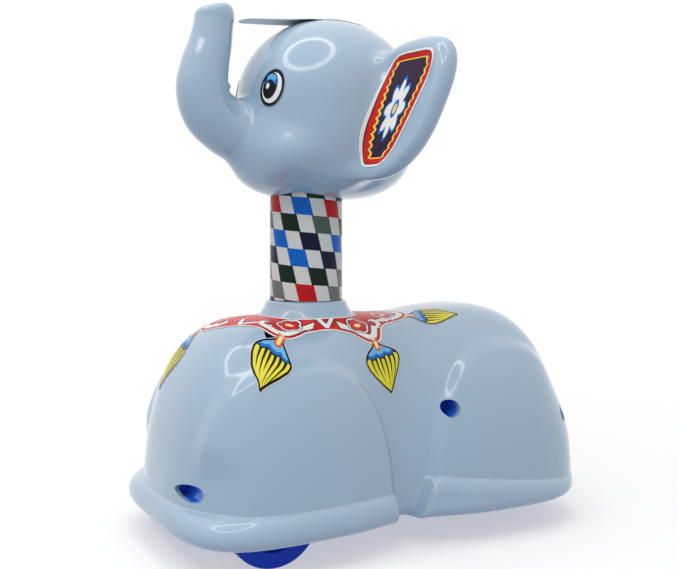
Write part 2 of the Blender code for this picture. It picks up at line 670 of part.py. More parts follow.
def build_drive(parent, blue, white, steel):
    axle_angle = atan2(FRONT_AXLE_Z - SHAFT_Z, FRONT_AXLE_Y - SHAFT_Y)
    shaft_at = (0, SHAFT_Y, SHAFT_Z)
    axle_at = (0, FRONT_AXLE_Y, FRONT_AXLE_Z)

    shaft_bore = guide_object(
        "shaft_bore",
        rod_mesh("shaft_bore", SHAFT_R + BEARING_GAP, -2 * PLATE_X, 2 * PLATE_X, axis="X", steps=16),
        parent,
    )
    shaft_bore.location = shaft_at
    axle_bore = guide_object(
        "axle_bore",
        rod_mesh("axle_bore", SHAFT_R + BEARING_GAP, -2 * PLATE_X, 2 * PLATE_X, axis="X", steps=16),
        parent,
    )
    axle_bore.location = axle_at

    shaft_half = PLATE_X + PLATE_THICKNESS + SHAFT_END
    mesh = rod_mesh("countershaft", SHAFT_R, -shaft_half, shaft_half, axis="X", steps=16)
    new_piece("countershaft", mesh, steel, parent, shaft_at)

    half_width = RACK_PINION_WIDTH / 2
    pinion_mesh = prism_mesh("ratchet_pinion", gear_outline(RACK_PINION_TEETH, 0), -half_width, half_width)
    pinion = new_piece("ratchet_pinion", pinion_mesh, white, parent, shaft_at)
    hub = guide_object(
        "pinion_hub",
        rod_mesh("pinion_hub", PINION_HUB_R, 0, RATCHET_X + RATCHET_WIDTH / 2, axis="X", steps=20),
        parent,
    )
    hub.location = shaft_at
    ratchet_mesh = prism_mesh("ratchet", ratchet_outline(), RATCHET_X, RATCHET_X + RATCHET_WIDTH)
    ratchet = guide_object("ratchet", ratchet_mesh, parent)
    ratchet.location = shaft_at
    combine(pinion, hub, "UNION")
    combine(pinion, ratchet, "UNION")
    combine(pinion, shaft_bore, "DIFFERENCE")

    gear_end = GEAR_X + GEAR_WIDTH
    gear_mesh = prism_mesh("drive_gear", gear_outline(DRIVE_GEAR_TEETH, axle_angle), GEAR_X, gear_end)
    gear = new_piece("drive_gear", gear_mesh, white, parent, shaft_at)
    hub_start = RATCHET_X + RATCHET_WIDTH + RATCHET_SIDE_ROOM
    gear_hub = guide_object(
        "gear_hub",
        rod_mesh("gear_hub", GEAR_HUB_R, hub_start, PLATE_X - HUB_END_GAP, axis="X", steps=24),
        parent,
    )
    gear_hub.location = shaft_at
    combine(gear, gear_hub, "UNION")
    combine(gear, shaft_bore, "DIFFERENCE")

    for name, turn in (("pawl_upper", PAWL_TURN), ("pawl_lower", PAWL_TURN + pi)):
        build_pawl(name, turn, parent, blue, shaft_at)

    for side, name in ((1, "left"), (-1, "right")):
        build_gearbox_plate(side, name, parent, blue, shaft_bore, axle_bore)

    axle_half = AXLE_HALF - AXLE_CAP_FLOOR
    mesh = rod_mesh("front_axle", SHAFT_R, -axle_half, axle_half, axis="X", steps=16)
    new_piece("front_axle", mesh, steel, parent, axle_at)
    pinion_turn = axle_angle + pi + pi / AXLE_PINION_TEETH
    pinion_outline = gear_outline(AXLE_PINION_TEETH, pinion_turn)
    mesh = prism_mesh("axle_pinion", pinion_outline, GEAR_X - GAP, gear_end + GAP)
    axle_pinion = new_piece("axle_pinion", mesh, white, parent, axle_at)
    combine(axle_pinion, axle_bore, "DIFFERENCE")
    for side, name in ((1, "left"), (-1, "right")):
        wheel_name = f"drive_wheel_{name}"
        new_piece(wheel_name, wheel_mesh(wheel_name, side), blue, parent, axle_at)
        cap_name = f"axle_cap_{name}"
        new_piece(cap_name, axle_cap_mesh(cap_name, side), white, parent, axle_at)


def build_pawl(name, turn, parent, material, shaft_at):
    """A stud on the drive gear with a finger that ends just clear of the ratchet teeth."""
    finger_start = RATCHET_X
    finger_end = RATCHET_X + RATCHET_WIDTH
    stud_mesh = rod_mesh(name, PAWL_STUD_R, finger_start + PAWL_ROOT_SINK, GEAR_X - GAP, axis="X", steps=14)
    stud_mesh.transform(Matrix.Translation((0, PAWL_STUD_DISTANCE, 0)))
    finger_outline = [
        (PAWL_STUD_DISTANCE + PAWL_ROOT_HALF, -PAWL_ROOT_SINK),
        (PAWL_STUD_DISTANCE - PAWL_LEAN, PAWL_LENGTH),
        (PAWL_STUD_DISTANCE - PAWL_LEAN - PAWL_TIP_WIDTH, PAWL_LENGTH - PAWL_TIP_SLANT),
        (PAWL_STUD_DISTANCE - PAWL_ROOT_HALF, -PAWL_ROOT_SINK),
    ]
    finger_mesh = prism_mesh(f"{name}_finger", finger_outline, finger_start, finger_end)
    rotation = Matrix.Rotation(turn, 4, "X")
    stud_mesh.transform(rotation)
    finger_mesh.transform(rotation)
    pawl = new_piece(name, stud_mesh, material, parent, shaft_at)
    finger = guide_object(f"{name}_finger", finger_mesh, parent)
    finger.location = shaft_at
    combine(pawl, finger, "UNION")


def build_gearbox_plate(side, name, parent, material, shaft_bore, axle_bore):
    foot_z = TRAY_TOP + GAP
    top = SHAFT_Z + PLATE_HEAD_HALF
    shoulder_z = foot_z + PLATE_SHOULDER
    outline = [
        (PLATE_FRONT, foot_z),
        (PLATE_BACK, foot_z),
        (PLATE_BACK, shoulder_z),
        (SHAFT_Y + PLATE_HEAD_HALF, SHAFT_Z),
        (SHAFT_Y + PLATE_TOP_HALF, top),
        (SHAFT_Y - PLATE_TOP_HALF, top),
        (SHAFT_Y - PLATE_HEAD_HALF, SHAFT_Z),
        (PLATE_FRONT, shoulder_z),
    ]
    start, end = sorted((side * PLATE_X, side * (PLATE_X + PLATE_THICKNESS)))
    plate = new_piece(
        f"gearbox_plate_{name}", prism_mesh(f"gearbox_plate_{name}", outline, start, end), material, parent
    )
    for index, y in enumerate((PLATE_FRONT + FOOT_HALF, PLATE_BACK - FOOT_HALF)):
        ends = (side * (PLATE_X - 2 * FOOT_HALF), side * (PLATE_X + PLATE_THICKNESS / 2))
        low_x, high_x = sorted(ends)
        foot = guide_object(
            f"foot_{name}_{index}",
            box_mesh("foot", (low_x, y - FOOT_HALF, foot_z), (high_x, y + FOOT_HALF, foot_z + FOOT_HEIGHT)),
            parent,
        )
        combine(plate, foot, "UNION")
        bore = guide_object(
            f"foot_bore_{name}_{index}",
            rod_mesh("foot_bore", SCREW_R + GAP, TRAY_BOTTOM, foot_z + FOOT_HEIGHT + 2 * MM, steps=14),
            parent,
        )
        bore.location = (side * (PLATE_X - FOOT_HALF), y, 0)
        combine(plate, bore, "DIFFERENCE")
    combine(plate, shaft_bore, "DIFFERENCE")
    combine(plate, axle_bore, "DIFFERENCE")


def wheel_mesh(name, side):
    inner = WHEEL_INNER_X
    outer = WHEEL_INNER_X + WHEEL_WIDTH
    bore = SHAFT_R + GAP
    web_r = WHEEL_R - RIM_DEPTH
    profile = [
        (bore, outer),
        (WHEEL_HUB_R, outer),
        (WHEEL_HUB_R + RIM_DRAFT, outer - WEB_RECESS),
        (web_r - RIM_DRAFT, outer - WEB_RECESS),
        (web_r, outer),
        (WHEEL_R - WHEEL_BEVEL, outer),
        (WHEEL_R, outer - WHEEL_BEVEL),
        (WHEEL_R, inner + WHEEL_BEVEL),
        (WHEEL_R - WHEEL_BEVEL, inner),
        (web_r, inner),
        (web_r - RIM_DRAFT, inner + WEB_RECESS),
        (WHEEL_HUB_R + RIM_DRAFT, inner + WEB_RECESS),
        (WHEEL_HUB_R, inner),
        (bore, inner),
    ]
    return turned_mesh(name, [(radius, side * x) for radius, x in profile], axis="X", steps=30)


def axle_cap_mesh(name, side):
    start = WHEEL_INNER_X + WHEEL_WIDTH + GAP
    floor = AXLE_HALF - AXLE_CAP_FLOOR + GAP
    profile = [
        (0, AXLE_HALF + AXLE_CAP_CROWN),
        (AXLE_CAP_TOP_R, AXLE_HALF),
        (AXLE_CAP_R, AXLE_HALF - AXLE_CAP_CROWN),
        (AXLE_CAP_R, start),
        (SHAFT_R + GAP, start),
        (SHAFT_R + GAP, floor),
        (0, floor),
    ]
    return turned_mesh(name, [(radius, side * x) for radius, x in profile], axis="X", steps=20)


def build_rear_axle(parent, blue, steel):
    at = (0, REAR_AXLE_Y, REAR_AXLE_Z)
    half = LUG_X + LUG_WIDTH + SHAFT_END
    mesh = rod_mesh("rear_axle", SHAFT_R, -half, half, axis="X", steps=16)
    new_piece("rear_axle", mesh, steel, parent, at)
    for side, name in ((1, "left"), (-1, "right")):
        inner = REAR_WHEEL_X
        outer = REAR_WHEEL_X + REAR_WHEEL_WIDTH
        profile = [
            (SHAFT_R + GAP, outer),
            (REAR_WHEEL_R - WHEEL_BEVEL, outer),
            (REAR_WHEEL_R, outer - WHEEL_BEVEL),
            (REAR_WHEEL_R, inner + WHEEL_BEVEL),
            (REAR_WHEEL_R - WHEEL_BEVEL, inner),
            (SHAFT_R + GAP, inner),
        ]
        placed = [(radius, side * x) for radius, x in profile]
        mesh = turned_mesh(f"rear_wheel_{name}", placed, axis="X", steps=26)
        new_piece(f"rear_wheel_{name}", mesh, blue, parent, at)


def build_tray(parent, blue, steel):
    inset = WALL + TRAY_GAP
    stations = body_stations(INNER_FAN, INNER_SIDE)
    left = [body_point(station, TRAY_BOTTOM, inset) for station in stations]
    outline = [(point.x, point.y) for point in left]
    outline += [(-point.x, point.y) for point in reversed(left[1:-1])]
    mesh = prism_mesh("base_tray", outline, TRAY_BOTTOM, TRAY_TOP, axis="Z")
    tray = new_piece("base_tray", mesh, blue, parent)

    seat_r = SPRING_R - SPRING_WIRE_R - SLIDE_GAP
    tray_middle = (TRAY_BOTTOM + TRAY_TOP) / 2
    seat_mesh = rod_mesh("spring_seat", seat_r, tray_middle, TRAY_TOP + SPRING_SEAT_HEIGHT)
    seat = guide_object("spring_seat", seat_mesh, parent)
    combine(tray, seat, "UNION")
    lug_z = REAR_AXLE_Z - SHAFT_R - LUG_WALL
    for side in (1, -1):
        low_x, high_x = sorted((side * LUG_X, side * (LUG_X + LUG_WIDTH)))
        low = (low_x, REAR_AXLE_Y - LUG_HALF, lug_z)
        high = (high_x, REAR_AXLE_Y + LUG_HALF, tray_middle)
        lug = guide_object(f"lug_{side}", box_mesh("lug", low, high), parent)
        combine(tray, lug, "UNION")

    below = TRAY_BOTTOM - 10 * MM
    above = TRAY_TOP + 10 * MM
    reach = 60 * MM
    wheel_room = WHEEL_R + WHEEL_ROOM
    gear_room = (AXLE_PINION_TEETH / 2 + TOOTH_RISE) * GEAR_MODULE + WHEEL_ROOM
    rear_room = REAR_WHEEL_R + WHEEL_ROOM
    windows = [
        ((WHEEL_INNER_X - WHEEL_ROOM, FRONT_AXLE_Y - wheel_room), (reach, FRONT_AXLE_Y + wheel_room)),
        ((-reach, FRONT_AXLE_Y - wheel_room), (-WHEEL_INNER_X + WHEEL_ROOM, FRONT_AXLE_Y + wheel_room)),
        (
            (GEAR_X - WHEEL_ROOM, FRONT_AXLE_Y - gear_room),
            (GEAR_X + GEAR_WIDTH + WHEEL_ROOM, FRONT_AXLE_Y + gear_room),
        ),
        (
            (-REAR_WHEEL_X - REAR_WHEEL_WIDTH - WHEEL_ROOM, REAR_AXLE_Y - rear_room),
            (REAR_WHEEL_X + REAR_WHEEL_WIDTH + WHEEL_ROOM, REAR_AXLE_Y + rear_room),
        ),
    ]
    for index, (low, high) in enumerate(windows):
        window = guide_object(f"window_{index}", box_mesh("window", (*low, below), (*high, above)), parent)
        combine(tray, window, "DIFFERENCE")
    lug_end = LUG_X + LUG_WIDTH + SHAFT_END + BEARING_GAP
    bore_mesh = rod_mesh("rear_bore", SHAFT_R + BEARING_GAP, -lug_end, lug_end, axis="X", steps=16)
    rear_bore = guide_object("rear_bore", bore_mesh, parent)
    rear_bore.location = (0, REAR_AXLE_Y, REAR_AXLE_Z)
    combine(tray, rear_bore, "DIFFERENCE")

    holes = [(side * tray_screw_x(y), y) for y in TRAY_SCREW_Y.values() for side in (1, -1)]
    for side, side_name in ((1, "left"), (-1, "right")):
        for end, y in (("front", PLATE_FRONT + FOOT_HALF), ("rear", PLATE_BACK - FOOT_HALF)):
            x = side * (PLATE_X - FOOT_HALF)
            holes.append((x, y))
            add_base_screw(f"gearbox_screw_{end}_{side_name}", x, y, FOOT_HEIGHT, parent, steel)
    for index, (x, y) in enumerate(holes):
        mesh = rod_mesh("tray_hole", SCREW_R + GAP, below, above, steps=14)
        hole = guide_object(f"tray_hole_{index}", mesh, parent)
        hole.location = (x, y, 0)
        combine(tray, hole, "DIFFERENCE")


def build_neck(parent, white, plastic, print_white):
    guide_profile = [
        (GUIDE_BORE, GUIDE_TOP),
        (GUIDE_BORE + GUIDE_WALL, GUIDE_TOP),
        (GUIDE_BORE + GUIDE_WALL, GUIDE_BOTTOM),
        (GUIDE_BORE, GUIDE_BOTTOM),
    ]
    guide = new_piece("neck_guide", turned_mesh("neck_guide", guide_profile, steps=36), white, parent)
    key_half = RACK_WIDTH / 2 + SLIDE_GAP
    keyway = guide_object(
        "keyway",
        box_mesh("keyway", (-key_half, -30 * MM, 0), (key_half, 0, COLLAR_TOP)),
        parent,
    )
    combine(guide, keyway, "DIFFERENCE")

    tube_top = HEAD_BOTTOM + NECK_SOCKET_DEPTH - SOCKET_END_GAP
    tube_profile = [
        (NECK_R - NECK_WALL, tube_top),
        (NECK_R, tube_top),
        (NECK_R, TUBE_BOTTOM + STOP_HEIGHT),
        (STOP_R, TUBE_BOTTOM + STOP_HEIGHT),
        (STOP_R, TUBE_BOTTOM),
        (NECK_R - NECK_WALL, TUBE_BOTTOM),
    ]
    tube = new_piece("neck_tube", turned_mesh("neck_tube", tube_profile, steps=36), plastic, parent)
    rack_seat = guide_object(
        "rack_seat",
        box_mesh(
            "rack_seat",
            (-RACK_WIDTH / 2 - GAP, -30 * MM, TUBE_BOTTOM - 5 * MM),
            (RACK_WIDTH / 2 + GAP, -NECK_R, TUBE_BOTTOM + STOP_HEIGHT + 5 * MM),
        ),
        parent,
    )
    combine(tube, rack_seat, "DIFFERENCE")
    new_piece("rack", prism_mesh("rack", rack_outline(), -RACK_WIDTH / 2, RACK_WIDTH / 2), white, parent)

    wrap_inner = NECK_R + GAP
    wrap_outer = wrap_inner + NECK_WRAP_THICKNESS
    wrap_top = HEAD_CENTRE.z - HEAD_RADII.z - GAP
    wrap_bottom = COLLAR_TOP + GAP
    wrap_profile = [
        (wrap_inner, wrap_top),
        (wrap_outer, wrap_top),
        (wrap_outer, wrap_bottom),
        (wrap_inner, wrap_bottom),
    ]
    new_piece("neck_wrap", turned_mesh("neck_wrap", wrap_profile, steps=36), print_white, parent)


def rack_outline():
    back = -(NECK_R + GAP)
    root = RACK_PITCH_Y + TOOTH_DEPTH * GEAR_MODULE
    tip = RACK_PITCH_Y - TOOTH_RISE * GEAR_MODULE
    pitch = pi * GEAR_MODULE
    half = (pitch / 2 - BACKLASH) / 2
    tip_half = half - TOOTH_RISE * GEAR_MODULE * tan(PRESSURE_ANGLE)
    root_half = half + TOOTH_DEPTH * GEAR_MODULE * tan(PRESSURE_ANGLE)
    outline = [(back, RACK_TOP), (back, RACK_BOTTOM), (root, RACK_BOTTOM)]
    first = int((RACK_BOTTOM + root_half - SHAFT_Z) / pitch - 0.5)
    last = int((RACK_TOP - root_half - SHAFT_Z) / pitch - 0.5)
    for tooth in range(first, last + 1):
        middle = SHAFT_Z + (tooth + 0.5) * pitch
        outline.append((root, middle - root_half))
        outline.append((tip, middle - tip_half))
        outline.append((tip, middle + tip_half))
        outline.append((root, middle + root_half))
    outline.append((root, RACK_TOP))
    return outline


def build_spring(parent, steel):
    """Helix between the tray and the stop ring; prints its least gap between turns."""
    bottom = TRAY_TOP + GAP + SPRING_WIRE_R
    top = TUBE_BOTTOM - GAP - SPRING_WIRE_R
    steps = SPRING_TURNS * 10
    curve = bpy.data.curves.new("return_spring", "CURVE")
    curve.dimensions = "3D"
    curve.bevel_depth = SPRING_WIRE_R
    curve.bevel_resolution = 1
    curve.use_fill_caps = True
    spline = curve.splines.new("POLY")
    spline.points.add(steps)
    points = []
    for index in range(steps + 1):
        share = index / steps
        angle = tau * SPRING_TURNS * share
        height = bottom + (top - bottom) * share
        points.append(Vector((SPRING_R * cos(angle), SPRING_R * sin(angle), height)))
    for slot, point in zip(spline.points, points):
        slot.co = (*point, 1)
    curve.materials.append(steel)
    spring = bpy.data.objects.new("return_spring", curve)
    spring.parent = parent
    bpy.context.scene.collection.objects.link(spring)
    least = min(
        (one - other).length for index, one in enumerate(points) for other in points[index + 7:]
    )
    print(f"return_spring least gap between turns: {(least - 2 * SPRING_WIRE_R) / MM:.2f} mm")


def head_scale(direction, shrink=0.0):
    """How far the head's surface lies along a direction from its centre."""
    radii = HEAD_RADII - Vector((shrink, shrink, shrink))
    across = hypot(direction.x / radii.x, direction.y / radii.y)
    up = abs(direction.z) / radii.z
    squareness = CROWN_SQUARENESS if direction.z > 0 else JAW_SQUARENESS
    return (across ** squareness + up ** squareness) ** (-1 / squareness)


def head_solid_mesh(name, shrink, around=26, rings=14):
    work = bmesh.new()
    bmesh.ops.create_uvsphere(work, u_segments=around, v_segments=rings, radius=1)
    for vertex in work.verts:
        direction = vertex.co.copy()
        vertex.co = HEAD_CENTRE + direction * head_scale(direction, shrink)
    return mesh_from(name, work)


def trunk_mesh(name, sides=14, rings_per_span=2):
    points = [Vector((0, y * MM, z * MM)) for y, z, radius in TRUNK_PATH]
    radii = [radius * MM for y, z, radius in TRUNK_PATH]
    centres = []
    for index in range(len(points) - 1):
        before = points[max(index - 1, 0)]
        after = points[min(index + 2, len(points) - 1)]
        for step in range(rings_per_span):
            t = step / rings_per_span
            smooth = 0.5 * (
                2 * points[index]
                + (points[index + 1] - before) * t
                + (2 * before - 5 * points[index] + 4 * points[index + 1] - after) * t * t
                + (3 * points[index] - before - 3 * points[index + 1] + after) * t ** 3
            )
            centres.append((smooth, radii[index] + (radii[index + 1] - radii[index]) * t))
    centres.append((points[-1], radii[-1]))
    work = bmesh.new()
    rings = []
    for index, (centre, radius) in enumerate(centres):
        before = centres[max(index - 1, 0)][0]
        after = centres[min(index + 1, len(centres) - 1)][0]
        along = (after - before).normalized()
        if index == len(centres) - 1:
            along = Matrix.Rotation(-TRUNK_TIP_TILT, 3, "X") @ along
        side = Vector((1, 0, 0))
        up = along.cross(side).normalized()
        ring = []
        for step in range(sides):
            angle = tau * step / sides
            ring.append(work.verts.new(centre + (side * cos(angle) + up * sin(angle)) * radius))
        rings.append(ring)
    for here, there in zip(rings, rings[1:]):
        for step in range(sides):
            following = (step + 1) % sides
            work.faces.new((here[step], here[following], there[following], there[step]))
    work.faces.new(rings[0])
    work.faces.new(rings[-1])
    return mesh_from(name, work)


def ear_frame(side):
    outward = Vector((side * cos(EAR_SWEEP), sin(EAR_SWEEP), 0))
    back = Vector((-side * sin(EAR_SWEEP), cos(EAR_SWEEP), 0))
    root = Vector((side * EAR_ROOT.x, EAR_ROOT.y, EAR_ROOT.z))
    return root, outward, back


def ear_point(side, along, up, depth):
    """Ear coordinates: share of the half length, share of the half height, share of the half thickness."""
    root, outward, back = ear_frame(side)
    rise = up * EAR_HALF_HEIGHT
    reach = EAR_MIDDLE + along * EAR_HALF_LENGTH + EAR_LEAN * rise
    sheet = root + outward * reach + Vector((0, EAR_PITCH * rise, rise))
    return sheet + back * (depth * EAR_HALF_THICKNESS)


def ear_mesh(name, side, around=24):
    work = bmesh.new()
    rings = []
    for share, depth in ((0.84, -1), (0.95, -0.7), (1, 0), (0.95, 0.7), (0.84, 1)):
        ring = []
        for step in range(around):
            angle = tau * step / around
            radius = share * superellipse_radius(angle, 1, 1, EAR_SQUARENESS)
            ring.append(work.verts.new(ear_point(side, radius * cos(angle), radius * sin(angle), depth)))
        rings.append(ring)
    for here, there in zip(rings, rings[1:]):
        for step in range(around):
            following = (step + 1) % around
            work.faces.new((here[step], here[following], there[following], there[step]))
    work.faces.new(rings[0])
    work.faces.new(rings[-1])
    return mesh_from(name, work)


def build_head(parent, plastic):
    head = new_piece("head_shell", head_solid_mesh("head_shell", 0), plastic, parent)
    combine(head, guide_object("trunk", trunk_mesh("trunk"), parent), "UNION")
    for side, name in ((1, "ear_left"), (-1, "ear_right")):
        combine(head, guide_object(name, ear_mesh(name, side), parent), "UNION")
    cavity = guide_object("head_cavity", head_solid_mesh("head_cavity", HEAD_WALL, 20, 10), parent)
    socket_top = HEAD_BOTTOM + NECK_SOCKET_DEPTH
    socket = guide_object(
        "neck_socket",
        rod_mesh("neck_socket", NECK_R + GAP + HEAD_WALL, HEAD_BOTTOM - 10 * MM, socket_top, steps=36),
        parent,
    )
    combine(cavity, socket, "DIFFERENCE")
    combine(head, cavity, "DIFFERENCE")
    bore = guide_object(
        "socket_bore",
        rod_mesh("socket_bore", NECK_R + GAP, HEAD_BOTTOM - 20 * MM, socket_top + 2 * MM, steps=36),
        parent,
    )
    combine(head, bore, "DIFFERENCE")


def label_mesh(name, grid, closed_ring=False):
    """A thin sheet lifted off a surface; the grid holds rows of (point, normal)."""
    work = bmesh.new()
    layers = []
    for lift in (LABEL_GAP, LABEL_GAP + LABEL_THICKNESS):
        layers.append([[work.verts.new(point + normal * lift) for point, normal in row] for row in grid])
    rows = len(grid)
    columns = len(grid[0])
    column_steps = columns if closed_ring else columns - 1
    for layer in layers:
        for row in range(rows - 1):
            for column in range(column_steps):
                following = (column + 1) % columns
                near, far = layer[row], layer[row + 1]
                work.faces.new((near[column], near[following], far[following], far[column]))
    low, high = layers
    for column in range(column_steps):
        following = (column + 1) % columns
        for row in (0, rows - 1):
            under, over = low[row], high[row]
            work.faces.new((under[column], under[following], over[following], over[column]))
    if not closed_ring:
        for row in range(rows - 1):
            for column in (0, columns - 1):
                under, over = low[row], high[row]
                under_next, over_next = low[row + 1], high[row + 1]
                work.faces.new((under[column], under_next[column], over_next[column], over[column]))
    return mesh_from(name, work)


def head_surface(offset):
    """The head's surface point and normal in the direction of an offset from its centre."""
    point = HEAD_CENTRE + offset * head_scale(offset)
    step = 0.01
    side = offset.orthogonal().normalized() * offset.length * step
    other = offset.cross(side).normalized() * offset.length * step
    one = HEAD_CENTRE + (offset + side) * head_scale(offset + side) - point
    two = HEAD_CENTRE + (offset + other) * head_scale(offset + other) - point
    normal = one.cross(two).normalized()
    return point, normal if normal.dot(offset) > 0 else -normal


def build_head_labels(parent, print_white):
    for side, name in ((1, "eye_label_left"), (-1, "eye_label_right")):
        facing = Vector((side * sin(EYE_TURN), -cos(EYE_TURN), 0))
        across = Vector((side * cos(EYE_TURN), sin(EYE_TURN), 0))
        centre = facing * HEAD_RADII.y + Vector((0, 0, EYE_HEIGHT - HEAD_CENTRE.z))
        rows = []
        for row in range(9):
            up = LABEL_TIP * (row / 4 - 1)
            width = sqrt(1 - up * up) * EYE_HALF_WIDTH
            columns = []
            for column in range(5):
                along = -width + 2 * width * column / 4
                rise = up * EYE_HALF_HEIGHT
                shift = along + rise * sin(EYE_TILT)
                columns.append(head_surface(centre + across * shift + Vector((0, 0, rise))))
            rows.append(columns)
        new_piece(name, label_mesh(name, rows), print_white, parent)

    for side, name in ((1, "ear_label_left"), (-1, "ear_label_right")):
        root, outward, back = ear_frame(side)
        rows = []
        for row in range(9):
            up = LABEL_TIP * (row / 4 - 1)
            width = (1 - abs(up) ** EAR_SQUARENESS) ** (1 / EAR_SQUARENESS) * EAR_LABEL_HALF_LENGTH
            width *= 1 + EAR_LABEL_TAPER * up
            columns = []
            for column in range(3):
                along = (-width + width * column) / EAR_HALF_LENGTH + EAR_LABEL_SHIFT
                rise = up * EAR_LABEL_HALF_HEIGHT / EAR_HALF_HEIGHT
                columns.append((ear_point(side, along, rise, -1), -back))
            rows.append(columns)
        new_piece(name, label_mesh(name, rows), print_white, parent)

    rows = []
    for row in range(11):
        y = BROW_LABEL_BACK + (BROW_LABEL_FRONT - BROW_LABEL_BACK) * row / 10
        width = BROW_LABEL_HALF_WIDTH * (1 - (abs(row - 4) / 6.6) ** 2.4) ** 0.5
        columns = []
        for column in range(5):
            x = -width + 2 * width * column / 4
            columns.append(brow_surface(x, y))
        rows.append(columns)
    new_piece("brow_label", label_mesh("brow_label", rows), print_white, parent)


def crown_surface(x, y):
    flat = hypot(x / HEAD_RADII.x, (y - HEAD_CENTRE.y) / HEAD_RADII.y)
    rise = HEAD_RADII.z * (1 - flat ** CROWN_SQUARENESS) ** (1 / CROWN_SQUARENESS)
    return head_surface(Vector((x, y - HEAD_CENTRE.y, rise)))


def brow_surface(x, y):
    """Stuck to the crown at the back; past the lift line it stands out straight and flat."""
    if y >= BROW_LIFT_Y:
        return crown_surface(x, y)
    edge, edge_normal = crown_surface(x, BROW_LIFT_Y)
    crest, crest_normal = crown_surface(0, BROW_LIFT_Y)
    share = smooth_step((BROW_LIFT_Y - y) / (BROW_LIFT_Y - BROW_LABEL_FRONT) * 2)
    height = edge.z + (crest.z - 1 * MM - edge.z) * share + BROW_SLOPE * (y - BROW_LIFT_Y)
    normal = (edge_normal * (1 - share) + Vector((0, 0, 1)) * share).normalized()
    return Vector((x, y, height)), normal


class Dome:
    """Paths over the top of the body, measured along its surface."""

    def __init__(self, outer):
        work = bmesh.new()
        work.from_mesh(outer.data)
        self.tree = BVHTree.FromBMesh(work)
        work.free()

    def over(self, x, y):
        """The surface point and normal under a place in plan."""
        above = Vector((x, y, 2 * FRONT_TOP))
        point, normal, index, distance = self.tree.ray_cast(above, Vector((0, 0, -1)))
        return point, normal

    def walk(self, start, turn, run):
        """The place reached after a run along the surface from a plan point, heading away at a turn."""
        heading = Vector((sin(turn), -cos(turn), 0))
        here, normal = self.over(start.x, start.y)
        left = run
        while left > 0:
            ahead = here + heading * min(SURFACE_STEP, left)
            there, following = self.over(ahead.x, ahead.y)
            length = (there - here).length
            if length >= left:
                share = left / length
                between = here.lerp(there, share)
                return self.over(between.x, between.y)
            left -= length
            here, normal = there, following
        return here, normal


def oval_radius(turn, across, along):
    return 1 / hypot(sin(turn) / across, cos(turn) / along)


def caparison_edge(turn):
    """Plan radius of the caparison's outer edge: an oval with a lobe over each tassel."""
    radius = oval_radius(turn, CAPARISON_OUTER_X, CAPARISON_OUTER_Y)
    for middle, lean, length in LOBES:
        away = turn - radians(middle)
        away = atan2(sin(away), cos(away))
        radius += LOBE_REACH * 2.718 ** (-((away / LOBE_SPREAD) ** 2))
    return radius


def build_caparison(parent, outer, print_white):
    dome = Dome(outer)
    around = 60
    rows = [[] for row in range(CAPARISON_ROWS)]
    for step in range(around):
        turn = tau * step / around
        inner_radius = oval_radius(turn, CAPARISON_INNER_X, CAPARISON_INNER_Y)
        outer_radius = caparison_edge(turn)
        for index, row in enumerate(rows):
            radius = inner_radius + (outer_radius - inner_radius) * index / (len(rows) - 1)
            row.append(dome.over(radius * sin(turn), -radius * cos(turn)))
    mesh = label_mesh("caparison_label", rows, closed_ring=True)
    new_piece("caparison_label", mesh, print_white, parent)

    for number, (middle, lean, length) in enumerate(LOBES):
        turn = radians(middle)
        heading = turn + radians(lean)
        radius = caparison_edge(turn) + 2 * LABEL_GAP
        root = Vector((radius * sin(turn), -radius * cos(turn), 0))
        grid = []
        for row in range(TASSEL_ROWS + 1):
            share = row / TASSEL_ROWS
            centre, normal = dome.walk(root, heading, length * share)
            width = TASSEL_HALF_WIDTH * tassel_width(share)
            left = dome.walk(centre, heading + pi / 2, width)
            right = dome.walk(centre, heading - pi / 2, width)
            grid.append([right, (centre, normal), left])
        name = f"tassel_label_{number + 1}"
        new_piece(name, label_mesh(name, grid), print_white, parent)


def tassel_width(share):
    """Narrow stem, full shoulder, pointed tip."""
    stem = 0.25
    if share < stem:
        return 0.28 + 0.6 * smooth_step((share - 0.12) / (stem - 0.12))
    return max(0.06, sin(pi * (0.36 + 0.62 * (share - stem) / (1 - stem))) ** 0.9)


def main():
    clear_scene()
    toy = bpy.data.objects.new("toy", None)
    toy.location = (0, NECK_Y, 0)
    bpy.context.scene.collection.objects.link(toy)

    plastic = finish_material("light_blue_plastic", (0.42, 0.58, 0.82), 0.18)
    blue = finish_material("royal_blue_plastic", (0.01, 0.05, 0.42), 0.3)
    white = finish_material("white_gear_plastic", (0.8, 0.8, 0.76), 0.35)
    steel = finish_material("steel", (0.6, 0.6, 0.62), 0.3, 1.0)
    print_white = finish_material("printed_label", (0.85, 0.83, 0.8), 0.25)

    outer = build_body(toy, plastic)
    build_fasteners(toy, steel, blue)
    build_tray(toy, blue, steel)
    build_neck(toy, white, plastic, print_white)
    build_drive(toy, blue, white, steel)
    build_rear_axle(toy, blue, steel)
    build_spring(toy, steel)
    build_head(toy, plastic)
    build_head_labels(toy, print_white)
    build_caparison(toy, outer, print_white)


main()
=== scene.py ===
import json
from math import atan2, cos, hypot, pi, radians, sin, tau

import bmesh
import bpy
import numpy as np
from mathutils import Matrix, Vector
from mathutils.bvhtree import BVHTree


